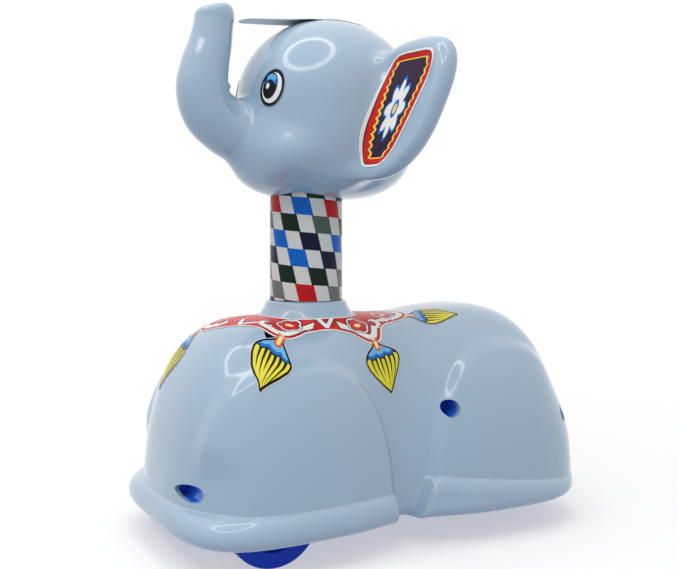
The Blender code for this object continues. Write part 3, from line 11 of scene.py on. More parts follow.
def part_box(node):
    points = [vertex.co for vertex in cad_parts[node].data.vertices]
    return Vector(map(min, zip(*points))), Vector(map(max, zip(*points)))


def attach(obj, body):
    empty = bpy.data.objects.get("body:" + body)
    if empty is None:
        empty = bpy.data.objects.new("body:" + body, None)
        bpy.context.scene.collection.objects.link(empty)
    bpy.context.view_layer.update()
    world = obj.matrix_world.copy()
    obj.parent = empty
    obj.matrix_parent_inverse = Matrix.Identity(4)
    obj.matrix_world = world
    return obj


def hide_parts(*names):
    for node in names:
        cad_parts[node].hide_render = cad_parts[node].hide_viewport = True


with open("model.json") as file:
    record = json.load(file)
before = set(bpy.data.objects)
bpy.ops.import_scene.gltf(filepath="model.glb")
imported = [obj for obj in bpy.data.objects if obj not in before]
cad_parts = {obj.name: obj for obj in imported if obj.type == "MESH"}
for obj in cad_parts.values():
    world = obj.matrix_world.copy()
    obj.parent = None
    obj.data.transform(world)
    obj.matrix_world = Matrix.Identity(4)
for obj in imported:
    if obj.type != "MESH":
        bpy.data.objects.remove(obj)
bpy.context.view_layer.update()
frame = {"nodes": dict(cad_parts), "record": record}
nodes = frame["nodes"]
mm = 0.001

wrapLow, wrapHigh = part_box("neck_wrap")
neckY = (wrapLow.y + wrapHigh.y) / 2            # the neck axis, which the shapes below are measured from
neckAxis = Vector((0, neckY, 0))

# Camera: where the picture was taken from, and the point of it that the neck falls on
cameraSet = dict(azimuth=62, distance=374 * mm, height=123 * mm, focalPixels=936,
                 imageWidth=679, imageHeight=569, neckPixel=306, horizonPixel=216.5, sensor=36)


def makeCamera():
    s = cameraSet
    turn = radians(s["azimuth"])
    place = neckAxis + Vector((sin(turn), -cos(turn), 0)) * s["distance"] + Vector((0, 0, s["height"]))
    data = bpy.data.cameras.new("camera")
    data.sensor_width = s["sensor"]
    data.lens = s["focalPixels"] * s["sensor"] / s["imageWidth"]
    data.shift_x = (s["imageWidth"] / 2 - s["neckPixel"]) / s["imageWidth"]
    data.shift_y = (s["horizonPixel"] - s["imageHeight"] / 2) / s["imageWidth"]
    camera = bpy.data.objects.new("camera", data)
    bpy.context.scene.collection.objects.link(camera)
    camera.location = place
    camera.rotation_euler = (pi / 2, 0, turn)
    bpy.context.scene.camera = camera


makeCamera()
print("stage: camera")


# Helpers for modelling
def deselect():
    if bpy.context.object and bpy.context.object.mode != "OBJECT":
        bpy.ops.object.mode_set(mode="OBJECT")
    bpy.ops.object.select_all(action="DESELECT")


def takeActive(name):
    piece = bpy.context.object
    piece.name = name
    piece.data.name = name
    return piece


def makeActive(piece):
    deselect()
    piece.select_set(True)
    bpy.context.view_layer.objects.active = piece


def getPlaces(piece):
    places = np.empty(len(piece.data.vertices) * 3)
    piece.data.vertices.foreach_get("co", places)
    return places.reshape(-1, 3)


def setPlaces(piece, places):
    piece.data.vertices.foreach_set("co", np.ascontiguousarray(places, np.float32).ravel())
    piece.data.update()


def addGrid(name, points):
    # points[row, column] is a place
    rows, columns = points.shape[:2]
    deselect()
    bpy.ops.mesh.primitive_grid_add(x_subdivisions=columns - 1, y_subdivisions=rows - 1, size=1)
    piece = takeActive(name)
    setPlaces(piece, points)
    return piece


def applyModifier(piece, kind, **settings):
    makeActive(piece)
    step = piece.modifiers.new(kind.lower(), kind)
    for key, value in settings.items():
        setattr(step, key, value)
    bpy.ops.object.modifier_apply(modifier=step.name)


def startEdit(piece, action="SELECT"):
    makeActive(piece)
    bpy.ops.object.mode_set(mode="EDIT")
    bpy.ops.mesh.select_all(action=action)


def mergeDoubles(piece, distance):
    startEdit(piece)
    bpy.ops.mesh.remove_doubles(threshold=distance)
    bpy.ops.mesh.normals_make_consistent(inside=False)
    bpy.ops.object.mode_set(mode="OBJECT")


def shadeSmooth(piece, angle):
    makeActive(piece)
    bpy.ops.object.shade_smooth_by_angle(angle=radians(angle))


def removePiece(piece):
    data = piece.data
    bpy.data.objects.remove(piece)
    bpy.data.meshes.remove(data)


def metres(**sizes):
    return {name: size * mm for name, size in sizes.items()}


def smoothStep(value):
    value = np.clip(value, 0, 1)
    return value * value * (3 - 2 * value)


def nearTurn(angle):
    # the same direction as an angle between minus and plus half a turn
    return np.arctan2(np.sin(angle), np.cos(angle))


def openMesh(piece):
    work = bmesh.new()
    work.from_mesh(piece.data)
    return work


def closeMesh(work, piece):
    work.to_mesh(piece.data)
    work.free()


def treeOf(piece):
    work = openMesh(piece)
    tree = BVHTree.FromBMesh(work)
    work.free()
    return tree


# Body: the same wall, lip and haunches as the frame's shells, drawn finely
bodyShape = dict(metres(frontCentre=-20, rearCentre=69, frontHalfWidth=44.7, rearHalfWidth=47.3, frontDepth=43.2,
                        rearDepth=42.2, waistY=21.5, waistDepth=5.5, waistSpread=20, lipSide=3.2, lipFront=2.4,
                        lipRear=0.3, lipTop=21.5, lipRoll=6.5, lipRound=4, rimZ=11.1, frontTop=84, rearTop=86,
                        saddleY=38.5, saddleDip=2.4, saddleSpread=20, haunchRelief=3, tailStart=8, tailFade=24,
                        tailLow=30, tailRise=30, toeY=-40, toeZ=46, toeFade=16, frontHaunchY=-22,
                        frontHaunchHalf=36.5, frontHaunchTop=70, rearHaunchY=69, rearHaunchHalf=39,
                        rearHaunchTop=72.5, footBlend=3, wall=2.2, lipBand=7, lipChange=5, seamGap=0.005),
                 frontSquareness=2.65, rearSquareness=2.8, lipSquareness=3.6, domeSquareness=2.75,
                 haunchEdge=0.085, frontHaunchSquareness=3.0, rearHaunchSquareness=2.4,
                 rearLip=((32 * mm, 26 * mm), (95 * mm, 17.5 * mm)), rearFootLean=0.42, rimFlat=0.92,
                 thinShare=0.04, fanSteps=64, sideSteps=140, lipLevels=58, domeLevels=76)
collarShape = dict(metres(openRadius=23, topZ=90, topRadius=14.9, edgeRound=1.1, wallEnd=19.5, fillet=4.5,
                          filletFrom=16, filletFade=1.5, boreRadius=14.5, boreRound=0.3, boreDepth=11, thinTo=19,
                          cutZ=95, lowest=50),
                   wallSlope=2.2, edgeShare=0.93, wallStart=0.95, segments=128)
boring = dict(length=60 * mm, wallSlack=2e-6, edgeSlack=4e-5)
# the three numbers after segments set the depth in millimetres where painted shade starts on a pocket's wall, and how
# softly it comes in
pocketShape = dict(metres(radius=3.3, below=1.2, bored=12, clear=0.1),
                   segments=64, shadeFrom=2.0, shadeTo=99.0, shadeSoft=1.8, front=metres(radius=3.0, shift=-0.5))


def alongSpine(y, front, rear, dip, middle, spread):
    # a measure that goes from its front value to its rear value, with one dip between them
    s = bodyShape
    share = smoothStep((y - s["frontCentre"]) / (s["rearCentre"] - s["frontCentre"]))
    level = s[front] + (s[rear] - s[front]) * share
    return level - s[dip] * np.exp(-(((y - s[middle]) / s[spread]) ** 2))


def spineTop(y):
    return alongSpine(y, "frontTop", "rearTop", "saddleDip", "saddleY", "saddleSpread")


def sideHalfWidth(y):
    return alongSpine(y, "frontHalfWidth", "rearHalfWidth", "waistDepth", "waistY", "waistSpread")


def superRadius(angle, across, along, squareness):
    return ((np.abs(np.sin(angle)) / across) ** squareness
            + (np.abs(np.cos(angle)) / along) ** squareness) ** (-1 / squareness)


def wallRadius(end, angle):
    s = bodyShape
    return superRadius(angle, s[end + "HalfWidth"], s[end + "Depth"], s[end + "Squareness"])


def bodyStations():
    # spine place, direction and the two radii of each column, from the middle of the front round to the tail
    s = bodyShape
    rows = []
    flank = s["haunchRelief"] + s["lipSide"]
    for step in range(s["fanSteps"]):
        angle = pi / 2 * step / s["fanSteps"]
        lip = superRadius(angle, s["frontHalfWidth"] + flank, s["frontDepth"] + s["lipFront"], s["lipSquareness"])
        rows.append((s["frontCentre"], sin(angle), -cos(angle), wallRadius("front", angle), lip))
    for step in range(s["sideSteps"] + 1):
        y = s["frontCentre"] + (s["rearCentre"] - s["frontCentre"]) * step / s["sideSteps"]
        rows.append((y, 1.0, 0.0, sideHalfWidth(y), sideHalfWidth(y) + flank))
    for step in range(1, s["fanSteps"] + 1):
        angle = pi / 2 * step / s["fanSteps"]
        back = pi / 2 - angle
        lip = superRadius(back, s["rearHalfWidth"] + flank, s["rearDepth"] + s["lipRear"], s["rearSquareness"])
        rows.append((s["rearCentre"], cos(angle), sin(angle), wallRadius("rear", back), lip))
    return np.array(rows, float).T.copy()


def haunchShare(y, z):
    s = bodyShape
    best = np.zeros_like(y)
    for end in ("front", "rear"):
        middle, half, top, n = (s[end + "Haunch" + part] for part in ("Y", "Half", "Top", "Squareness"))
        reach = ((np.abs(y - middle) / half) ** n + (np.maximum(z, 0) / top) ** n) ** (1 / n)
        best = np.maximum(best, smoothStep((1 + s["haunchEdge"] / 2 - reach) / s["haunchEdge"]))
    # no step in the line of the rump, nor by the front pocket
    tail = smoothStep((y - s["rearHaunchY"] - s["tailStart"]) / s["tailFade"])
    toe = smoothStep((s["toeY"] - y) / s["toeFade"]) * smoothStep((s["toeZ"] - z) / s["toeFade"])
    return best * (1 - tail * smoothStep((z - s["tailLow"]) / s["tailRise"])) * (1 - toe)


def bodyPoints():
    s = bodyShape
    spine, dx, dy, wall, lip = bodyStations()
    n = s["domeSquareness"]
    top = spineTop(spine)[None, :]
    lower = s["rimZ"] + (s["lipTop"] + s["lipBand"] - s["rimZ"]) * np.linspace(0, 1, s["lipLevels"])
    start = np.arcsin((lower[-1] / top) ** (n / 2))
    angles = start + (pi / 2 - start) * np.linspace(0, 1, s["domeLevels"] + 1)[1:, None]
    z = np.vstack([np.repeat(lower[:, None], len(spine), 1), top * np.sin(angles) ** (2 / n)])
    shrink = np.maximum(1 - np.minimum(z / top, 1) ** n, 0) ** (1 / n)
    radius = wall[None, :] * shrink
    along = spine[None, :] + dy[None, :] * radius
    radius = radius + s["haunchRelief"] * haunchShare(along, z) * (shrink > 0)
    frontEnd = s["frontHaunchY"] + s["frontHaunchHalf"]
    rearLip = np.interp(along, *np.array(s["rearLip"]).T)
    lipTop = np.where(along < frontEnd + s["lipChange"], s["lipTop"], rearLip)
    rearStart = s["rearHaunchY"] - s["rearHaunchHalf"] - s["rearFootLean"] * (lipTop - z)     # its end slants
    foot = np.maximum(smoothStep((frontEnd - along) / s["footBlend"] + 0.5),
                      smoothStep((along - rearStart) / s["footBlend"] + 0.5))
    lipRadius = radius + (np.maximum(lip[None, :] * shrink, radius) - radius) * foot
    rise = np.sqrt(1 - (1 - np.clip((lipTop - z) / s["lipRoll"], 0, 1)) ** 2)
    radius = radius + (lipRadius - radius) * rise
    under = np.clip((s["rimZ"] + s["lipRound"] - z) / s["lipRound"], 0, 1)
    radius = radius - s["lipRound"] * (1 - np.sqrt(1 - s["rimFlat"] * under ** 2))
    points = np.stack([dx[None, :] * radius, spine[None, :] + dy[None, :] * radius + neckY, z], -1)
    points[:, (0, -1), 0] = 0
    points[-1, :, 0] = 0
    return points


def cutOpen(piece, place, axis, radius, segments, inside):
    # bores a round hole and takes away the bored wall, which leaves a clean round edge in the surface
    deselect()
    turn = (0, pi / 2, 0) if axis == "X" else (0, 0, 0)
    bpy.ops.mesh.primitive_cylinder_add(vertices=segments, radius=radius, depth=boring["length"], location=place,
                                        rotation=turn)
    cutter = takeActive("cutter")
    applyModifier(piece, "BOOLEAN", operation="DIFFERENCE", object=cutter, solver="EXACT")
    removePiece(cutter)
    work = openMesh(piece)
    most = radius + boring["wallSlack"]
    gone = [face for face in work.faces if all(inside(vert.co) <= most for vert in face.verts)]
    bmesh.ops.delete(work, geom=gone, context="FACES")
    return work


def growRings(work, onEdge, rings):
    # from a round open edge, adds one ring of faces after another; each ring is a function of the edge's vertex
    edges = [edge for edge in work.edges if edge.is_boundary and all(onEdge(vert.co) for vert in edge.verts)]
    loop = [*edges[0].verts]
    neighbours = {}
    for edge in edges:
        for vert in edge.verts:
            neighbours.setdefault(vert, []).append(edge.other_vert(vert))
    while (after := next(vert for vert in neighbours[loop[-1]] if vert is not loop[-2])) is not loop[0]:
        loop.append(after)
    first = [vert.co.copy() for vert in loop]
    here = loop
    for ring in rings:
        there = [work.verts.new(ring(place)) for place in first]
        for corners in zip(here, here[1:] + here[:1], there[1:] + there[:1], there):
            work.faces.new(corners)
        here = there
    return here


def offNeck(co):
    return hypot(co.x, co.y - neckY)


def domeHeight(x, y):
    # height of the back over a point near the neck
    s = bodyShape
    n = s["domeSquareness"]
    if y >= s["frontCentre"]:
        top, share = spineTop(y), abs(x) / sideHalfWidth(y)
    else:
        angle = atan2(abs(x), s["frontCentre"] - y)
        top, share = spineTop(s["frontCentre"]), hypot(x, s["frontCentre"] - y) / wallRadius("front", angle)
    return float(top * (1 - min(share, 1) ** n) ** (1 / n))


def collarHeight(radius):
    s = collarShape
    edge = s["topRadius"] + s["edgeRound"] * s["edgeShare"]
    if radius <= s["topRadius"]:
        return s["topZ"]
    drop = s["edgeRound"] - (max(s["edgeRound"] ** 2 - (min(radius, edge) - s["topRadius"]) ** 2, 0)) ** 0.5
    return s["topZ"] - drop - max(radius - edge, 0) * s["wallSlope"]


def collarPoint(place, radius, z=None):
    s = collarShape
    angle = atan2(place.y - neckY, place.x)
    x, y = cos(angle) * radius, sin(angle) * radius
    if z is None:
        dome, collar, k = domeHeight(x, y), collarHeight(radius), s["fillet"]
        share = min(max(0.5 + 0.5 * (collar - dome) / k, 0), 1)
        fillet = k * share * (1 - share) * smoothStep((radius - s["filletFrom"]) / s["filletFade"])
        z = dome + (collar - dome) * share + fillet
    return Vector((x, y + neckY, z))


def growCollar(piece):
    s = collarShape
    work = cutOpen(piece, (0, neckY, s["cutZ"]), "Z", s["openRadius"], s["segments"], offNeck)
    edge = s["topRadius"] + s["edgeRound"] * s["wallStart"]
    radii = [*np.linspace(s["openRadius"], s["wallEnd"], 12)[1:], *np.linspace(s["wallEnd"], edge, 22)[1:],
             *(s["topRadius"] + s["edgeRound"] * sin(angle) * s["edgeShare"] for angle in np.linspace(1.3, 0, 7)),
             s["boreRadius"] + s["boreRound"]]
    rings = [lambda place, radius=radius: collarPoint(place, radius) for radius in radii]
    for angle in (0.5, 1.05, pi / 2):
        radius = s["boreRadius"] + s["boreRound"] * (1 - sin(angle))
        z = s["topZ"] - s["boreRound"] * (1 - cos(angle))
        rings.append(lambda place, radius=radius, z=z: collarPoint(place, radius, z))
    rings.append(lambda place: collarPoint(place, s["boreRadius"], s["topZ"] - s["boreDepth"]))
    slack = boring["edgeSlack"]
    growRings(work, lambda co: abs(offNeck(co) - s["openRadius"]) < slack and co.z > s["lowest"], rings)
    closeMesh(work, piece)


def growPocket(piece, plugName, shift=0.0, **other):
    s = dict(pocketShape, **other)
    low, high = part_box(plugName)
    y, z = (low.y + high.y) / 2 + shift, (low.z + high.z) / 2
    inner = high.x - s["bored"]

    def away(co):
        return hypot(co.y - y, co.z - z) if co.x > inner - s["clear"] else 1.0

    def onEdge(co):
        return abs(away(co) - s["radius"]) < boring["edgeSlack"]

    work = cutOpen(piece, (inner + boring["length"] / 2, y, z), "X", s["radius"], s["segments"], away)
    depth = work.verts.layers.float.get("pocket") or work.verts.layers.float.new("pocket")
    mouth = min(vert.co.x for vert in work.verts if vert.is_boundary and onEdge(vert.co))
    floorX = min(high.x, mouth) - s["below"]
    last = growRings(work, onEdge, [lambda place: Vector((floorX, place.y, place.z))])
    for vert in last:
        above = max((edge.other_vert(vert) for edge in vert.link_edges), key=lambda end: end.co.x)
        vert[depth] = (above.co.x - floorX) / mm
        above[depth] = 1e-3                # more than nought, which marks it as pocket
    closeMesh(work, piece)


def makeBody():
    body = addGrid("body", bodyPoints())
    applyModifier(body, "MIRROR", use_axis=(True, False, False), merge_threshold=1e-6)
    mergeDoubles(body, 2e-6)
    startEdit(body, "DESELECT")
    bpy.ops.mesh.select_non_manifold()
    bpy.ops.mesh.edge_face_add()          # the open rim, closed while holes are bored
    bpy.ops.object.mode_set(mode="OBJECT")
    mergeDoubles(body, 2e-6)
    plain = treeOf(body)
    growPocket(body, "screw_plug_front_foot", **pocketShape["front"])
    for name in ("screw_plug_shoulder", "screw_plug_haunch", "screw_plug_tail"):
        growPocket(body, name)
    growCollar(body)
    work = openMesh(body)
    rimZ = bodyShape["rimZ"]
    floor = [face for face in work.faces if all(abs(vert.co.z - rimZ) < 1e-6 for vert in face.verts)]
    bmesh.ops.delete(work, geom=floor, context="FACES")
    bmesh.ops.recalc_face_normals(work, faces=work.faces)
    closeMesh(work, body)
    return body, plain


def splitBody(body):
    halves = []
    for side, name in ((1, "bodyLeft"), (-1, "bodyRight")):
        half = bpy.data.objects.new(name, body.data.copy())
        bpy.context.scene.collection.objects.link(half)
        work = openMesh(half)
        bmesh.ops.bisect_plane(work, geom=work.verts[:] + work.edges[:] + work.faces[:], dist=1e-7,
                               plane_co=(side * bodyShape["seamGap"], 0, 0), plane_no=(side, 0, 0),
                               clear_inner=True)
        closeMesh(work, half)
        depths = np.empty(len(half.data.vertices), np.float32)
        half.data.attributes["pocket"].data.foreach_get("value", depths)
        places = getPlaces(half)
        thick = (depths == 0) & (np.hypot(places[:, 0], places[:, 1] - neckY) > collarShape["thinTo"])
        full = half.vertex_groups.new(name="full")
        full.add([int(index) for index in np.flatnonzero(thick)], 1.0, "REPLACE")
        # pockets and collar stay thin
        applyModifier(half, "SOLIDIFY", thickness=bodyShape["wall"], offset=-1, use_even_offset=False,
                      vertex_group="full", thickness_vertex_group=bodyShape["thinShare"])
        shadeSmooth(half, 50)
        halves.append(half)
    return halves


body, plainTree = makeBody()
collarTree = treeOf(body)
bodyLeft, bodyRight = splitBody(body)
removePiece(body)
for half, node in ((bodyLeft, "body_shell_left"), (bodyRight, "body_shell_right")):
    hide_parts(node)
    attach(half, "body")
print("stage: body", len(bodyLeft.data.polygons), len(bodyRight.data.polygons))


# Head: ball, cheeks, trunk and ears run into one another; sizes in millimetres from the neck axis
headShape = dict(centre=(0, 9, 165.6), radii=(36, 36.5, 36.1), jaw=3.0, crown=2.1,
                 cheek=(14.5, -13.5, 147), cheekRadii=(13, 11.5, 9), cheekBlend=7, trunkBlend=9, earBlend=7,
                 voxel=0.68, rounds=(5, 2, 2), lastRounds=2, socketRadius=14.75, socketRound=0.5, socketTop=141,
                 socketCut=112, cutBelow=145, edgeBelow=140, socketSegments=128)
trunkShape = dict(
    path=((-16.5, 149, 15.6), (-27.4, 152.2, 10.4), (-35.6, 156.7, 10), (-41.7, 162.7, 10.2), (-44.3, 171, 10),
          (-43.4, 179.5, 9.2), (-41.2, 188, 8.2), (-39.8, 196, 7.6), (-39.4, 199, 7.6)),
    tipZ=203.6, tipTilt=14, tipRound=2.6, dent=1.3, dentSpread=3.2,
    wrinkles=(164.5, 168.5, 172.5), wrinkleDepth=0.85, wrinkleWidth=0.9, wrinkleBack=-40,
    wrinkleFade=4, wrinkleHalf=8, wrinkleSide=5, dentFrom=-20, reachBack=6, chunk=6000, farOff=60.0)
earShape = dict(root=(25, 12, 162), sweep=8, halfLength=24, halfHeight=26, halfThickness=4, middle=18,
                lean=0.27, pitch=0.25, squareness=2.6, dish=1.1, dishEdge=0.86, dishFade=0.22,
                roughSize=0.97, roughThickness=1.3)


def smoothPath(points, steps):
    # a curve through the points, as rows of place and radius
    points = np.array(points, float)
    rows = []
    for index in range(len(points) - 1):
        before, after = points[max(index - 1, 0)], points[min(index + 2, len(points) - 1)]
        here, there = points[index], points[index + 1]
        for t in np.linspace(0, 1, steps, endpoint=False):
            rows.append(0.5 * (2 * here + (there - before) * t
                               + (2 * before - 5 * here + 4 * there - after) * t ** 2
                               + (3 * here - before - 3 * there + after) * t ** 3))
    return np.array(rows + [points[-1]])


trunkLine = smoothPath(trunkShape["path"], 14)


def ballField(p, centre, radii, lower=2.0, upper=2.0):
    away = p - np.array(centre)
    x, y, z = (away / np.array(radii)).T
    n = np.where(z > 0, upper, lower)
    q = (np.hypot(x, y) ** n + np.abs(z) ** n) ** (1 / n)
    return np.linalg.norm(away, axis=1) * (1 - 1 / np.maximum(q, 1e-3))


def trunkField(p):
    s = trunkShape
    field = np.full(len(p), s["farOff"])
    near = np.nonzero(p[:, 1] < s["reachBack"])[0]
    for part in np.array_split(near, max(len(near) // s["chunk"], 1)):
        x, y, z = p[part].T[..., None]
        square = x ** 2 + (y - trunkLine[:, 0]) ** 2 + (z - trunkLine[:, 1]) ** 2
        field[part] = (np.sqrt(square) - trunkLine[:, 2]).min(1)
    tilt = radians(s["tipTilt"])
    y, z = p[:, 1] - s["path"][-1][0], p[:, 2] - s["tipZ"]
    spread = np.exp(-((p[:, 0] ** 2 + (y * cos(tilt)) ** 2) / s["dentSpread"] ** 2))
    lid = z * cos(tilt) - y * sin(tilt) + s["dent"] * spread * (z > s["dentFrom"])
    field = -blendFields(-lid, -field, s["tipRound"])
    behind = smoothStep((p[:, 1] - s["wrinkleBack"]) / s["wrinkleFade"])
    behind = behind * smoothStep((s["wrinkleHalf"] - np.abs(p[:, 0])) / s["wrinkleSide"])
    for height in s["wrinkles"]:
        field = field - s["wrinkleDepth"] * np.exp(-((p[:, 2] - height) / s["wrinkleWidth"]) ** 2) * behind
    return field


def earPoint(side, along, up, depth):
    # from shares of the half length and half height, and the depth behind the sheet
    s = earShape
    sweep = radians(s["sweep"])
    z = up * s["halfHeight"]
    reach = s["middle"] + along * s["halfLength"] + s["lean"] * z
    x = s["root"][0] + reach * cos(sweep) - depth * sin(sweep)
    y = s["root"][1] + reach * sin(sweep) + depth * cos(sweep) + s["pitch"] * z
    return np.stack([side * x, y, s["root"][2] + z], -1)


def earField(p, side):
    # the way back from places to those shares and the depth, and from there to the distance
    s = earShape
    sweep, n = radians(s["sweep"]), s["squareness"]
    x, y, z = (p * (side, 1, 1) - s["root"]).T
    y = y - s["pitch"] * z
    along = (x * cos(sweep) + y * sin(sweep) - s["middle"] - s["lean"] * z) / s["halfLength"]
    up, depth = z / s["halfHeight"], -x * sin(sweep) + y * cos(sweep)
    q = np.maximum((np.abs(along) ** n + np.abs(up) ** n) ** (1 / n), 1e-3)
    reach = np.hypot(along * s["halfLength"], up * s["halfHeight"])
    rim = reach * (1 - 1 / q) + s["halfThickness"]
    thick = s["halfThickness"] - s["dish"] * smoothStep((s["dishEdge"] - q) / s["dishFade"]) * (depth < 0)
    return np.hypot(np.maximum(rim, 0), depth) - thick


def blendFields(a, b, k):
    share = np.clip(0.5 + 0.5 * (b - a) / k, 0, 1)
    return b + (a - b) * share - k * share * (1 - share)


def headField(p):
    s = headShape
    field = ballField(p, s["centre"], s["radii"], s["jaw"], s["crown"])
    for side in (1, -1):
        x, y, z = s["cheek"]
        field = blendFields(field, ballField(p, (side * x, y, z), s["cheekRadii"]), s["cheekBlend"])
    field = blendFields(field, trunkField(p), s["trunkBlend"])
    for side in (1, -1):
        field = blendFields(field, earField(p, side), s["earBlend"])
    return field


def settle(p, rounds):
    # moves points straight onto the surface where the field is nought
    nudge, gentlest, furthest = 0.05, 0.05, 2
    for _ in range(rounds):
        value = headField(p)
        slope = np.stack([headField(p + axis * nudge) - value for axis in np.eye(3)], -1) / nudge
        size = np.maximum((slope ** 2).sum(1), gentlest)
        p = p - np.clip(value / size, -furthest, furthest)[:, None] * slope
    return p


def addBall(place, radii, segments=48):
    deselect()
    bpy.ops.mesh.primitive_uv_sphere_add(segments=segments, ring_count=segments // 2, radius=1)
    bpy.ops.transform.resize(value=radii)
    bpy.ops.transform.translate(value=place)
    bpy.ops.object.transform_apply(location=True, rotation=True, scale=True)
    return bpy.context.object


def cutSocket(head):
    # the round opening for the neck, with a soft edge and a flat top inside
    s = headShape
    radius, soft = s["socketRadius"] * mm, s["socketRound"] * mm
    mouth = radius + soft
    work = cutOpen(head, (0, neckY, s["socketCut"] * mm), "Z", mouth, s["socketSegments"],
                   lambda co: offNeck(co) if co.z < s["cutBelow"] * mm else 1.0)
    rings = []
    for angle in np.linspace(0, pi / 2, 5)[1:]:
        k = (mouth - soft * sin(angle)) / mouth
        up = soft * (1 - cos(angle))
        rings.append(lambda at, k=k, up=up: Vector((at.x * k, neckY + (at.y - neckY) * k, at.z + up)))
    k = radius / mouth
    rings.append(lambda at: Vector((at.x * k, neckY + (at.y - neckY) * k, s["socketTop"] * mm)))
    slack = boring["edgeSlack"]
    last = growRings(work, lambda co: abs(offNeck(co) - mouth) < slack and co.z < s["edgeBelow"] * mm, rings)
    work.faces.new(last)
    bmesh.ops.recalc_face_normals(work, faces=work.faces)
    closeMesh(work, head)


def makeHead():
    # rough balls are joined and remeshed in millimetres, then the surface is drawn true and scaled to metres
    s, e = headShape, earShape
    balls = [addBall(s["centre"], s["radii"])]
    for side in (1, -1):
        balls.append(addBall((side * s["cheek"][0], *s["cheek"][1:]), s["cheekRadii"]))
        ear = addBall((0, 0, 0), (e["halfLength"] * e["roughSize"], e["halfThickness"] * e["roughThickness"],
                                  e["halfHeight"] * e["roughSize"]))
        x, y, z = getPlaces(ear).T
        setPlaces(ear, earPoint(side, x / e["halfLength"], z / e["halfHeight"], y))
        balls.append(ear)
    for y, z, radius in trunkLine[::3]:
        balls.append(addBall((0, y, z), (radius, radius, radius), 24))
    deselect()
    for ball in balls:
        ball.select_set(True)
    bpy.context.view_layer.objects.active = balls[0]
    bpy.ops.object.join()
    head = takeActive("head")
    applyModifier(head, "REMESH", mode="VOXEL", voxel_size=s["voxel"])
    for rounds in s["rounds"]:
        setPlaces(head, settle(getPlaces(head), rounds))
        applyModifier(head, "SMOOTH", factor=0.5, iterations=4)
    setPlaces(head, settle(getPlaces(head), s["lastRounds"]) * mm + np.array(neckAxis))
    cutSocket(head)
    shadeSmooth(head, 50)
    return head


head = makeHead()
headTree = treeOf(head)
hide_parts("head_shell")
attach(head, "head")
print("stage: head", len(head.data.polygons))


# Materials: colours are written as they look in the picture, 0 to 255
def ink(red, green, blue):
    values = np.array((red, green, blue)) / 255
    return (*np.where(values <= 0.04045, values / 12.92, ((values + 0.055) / 1.055) ** 2.4), 1.0)


def newGroup(name, colours, numbers, outputs):
    # inputs: colours, then numbers with their usual values
    group = bpy.data.node_groups.new(name, "ShaderNodeTree")
    for title in colours:
        group.interface.new_socket(name=title, in_out="INPUT", socket_type="NodeSocketColor")
    for title, value in numbers.items():
        socket = group.interface.new_socket(name=title, in_out="INPUT", socket_type="NodeSocketFloat")
        socket.default_value = value
    for title, kind in outputs.items():
        group.interface.new_socket(name=title, in_out="OUTPUT", socket_type="NodeSocket" + kind)
    return group, group.nodes.new("NodeGroupInput"), group.nodes.new("NodeGroupOutput")


def feed(node, *links):
    # links: (input name or number, what it takes: a socket or a plain value)
    for key, value in links:
        if hasattr(value, "is_output"):
            node.id_data.links.new(value, node.inputs[key])
        else:
            node.inputs[key].default_value = value
    return node


def addNode(tree, kind, *links, **settings):
    node = tree.nodes.new(kind)
    for key, value in settings.items():
        setattr(node, key, value)
    return feed(node, *links)


def mixColour(tree, share, under, over):
    return addNode(tree, "ShaderNodeMix", (0, share), (6, under), (7, over), data_type="RGBA").outputs[2]


def mathNode(tree, operation, *values):
    return addNode(tree, "ShaderNodeMath", *enumerate(values), operation=operation).outputs[0]


def makeInkBand():
    # lays an ink over what is under it wherever a field lies between two values
    group, start, end = newGroup("inkBand", ("Under", "Ink"), dict(Field=0, Low=0, High=1, Soft=0.06),
                                 dict(Color="Color"))
    take = start.outputs
    shares = []
    for edge in ("Low", "High"):
        low = mathNode(group, "SUBTRACT", take[edge], take["Soft"])
        high = mathNode(group, "ADD", take[edge], take["Soft"])
        step = addNode(group, "ShaderNodeMapRange", ("Value", take["Field"]), ("From Min", low), ("From Max", high),
                       interpolation_type="SMOOTHSTEP")
        shares.append(step.outputs[0])
    inside = mathNode(group, "SUBTRACT", *shares)
    feed(end, ("Color", mixColour(group, inside, take["Under"], take["Ink"])))
    return group


def makeSurfaceGroup():
    # faint cloudiness, slow waves and an uneven gloss, for every moulded or printed surface
    group, start, end = newGroup("surface", ("Color",),
                                 dict(Scale=60, Cloud=0.05, Roughness=0.2, Uneven=0.05, Waves=0.02),
                                 dict(Color="Color", Roughness="Float", Normal="Vector"))
    take = start.outputs
    place = group.nodes.new("ShaderNodeTexCoord").outputs["Object"]
    wide = addNode(group, "ShaderNodeTexNoise", ("Vector", place), ("Scale", take["Scale"]), ("Detail", 3.0))
    fine = mathNode(group, "MULTIPLY", take["Scale"], 14.0)
    small = addNode(group, "ShaderNodeTexNoise", ("Vector", place), ("Scale", fine), ("Detail", 2.0))
    centred = mathNode(group, "SUBTRACT", wide.outputs["Fac"], 0.5)
    swing = mathNode(group, "MULTIPLY", centred, take["Cloud"])
    bright = mathNode(group, "ADD", swing, 1.0)
    tinted = addNode(group, "ShaderNodeHueSaturation", ("Color", take["Color"]), ("Value", bright))
    gloss = mathNode(group, "SUBTRACT", small.outputs["Fac"], 0.5)
    rough = mathNode(group, "ADD", take["Roughness"], mathNode(group, "MULTIPLY", gloss, take["Uneven"]))
    bump = addNode(group, "ShaderNodeBump", ("Strength", take["Waves"]), ("Distance", 0.002),
                   ("Height", wide.outputs["Fac"]))
    feed(end, ("Color", tinted.outputs["Color"]), ("Roughness", rough), ("Normal", bump.outputs["Normal"]))
    return group


inkBand = makeInkBand()
surfaceGroup = makeSurfaceGroup()


def groupNode(tree, group, *links):
    return addNode(tree, "ShaderNodeGroup", *links, node_tree=group).outputs


def bareMaterial(name):
    material = bpy.data.materials.new(name)
    material.use_nodes = True
    return material, material.node_tree


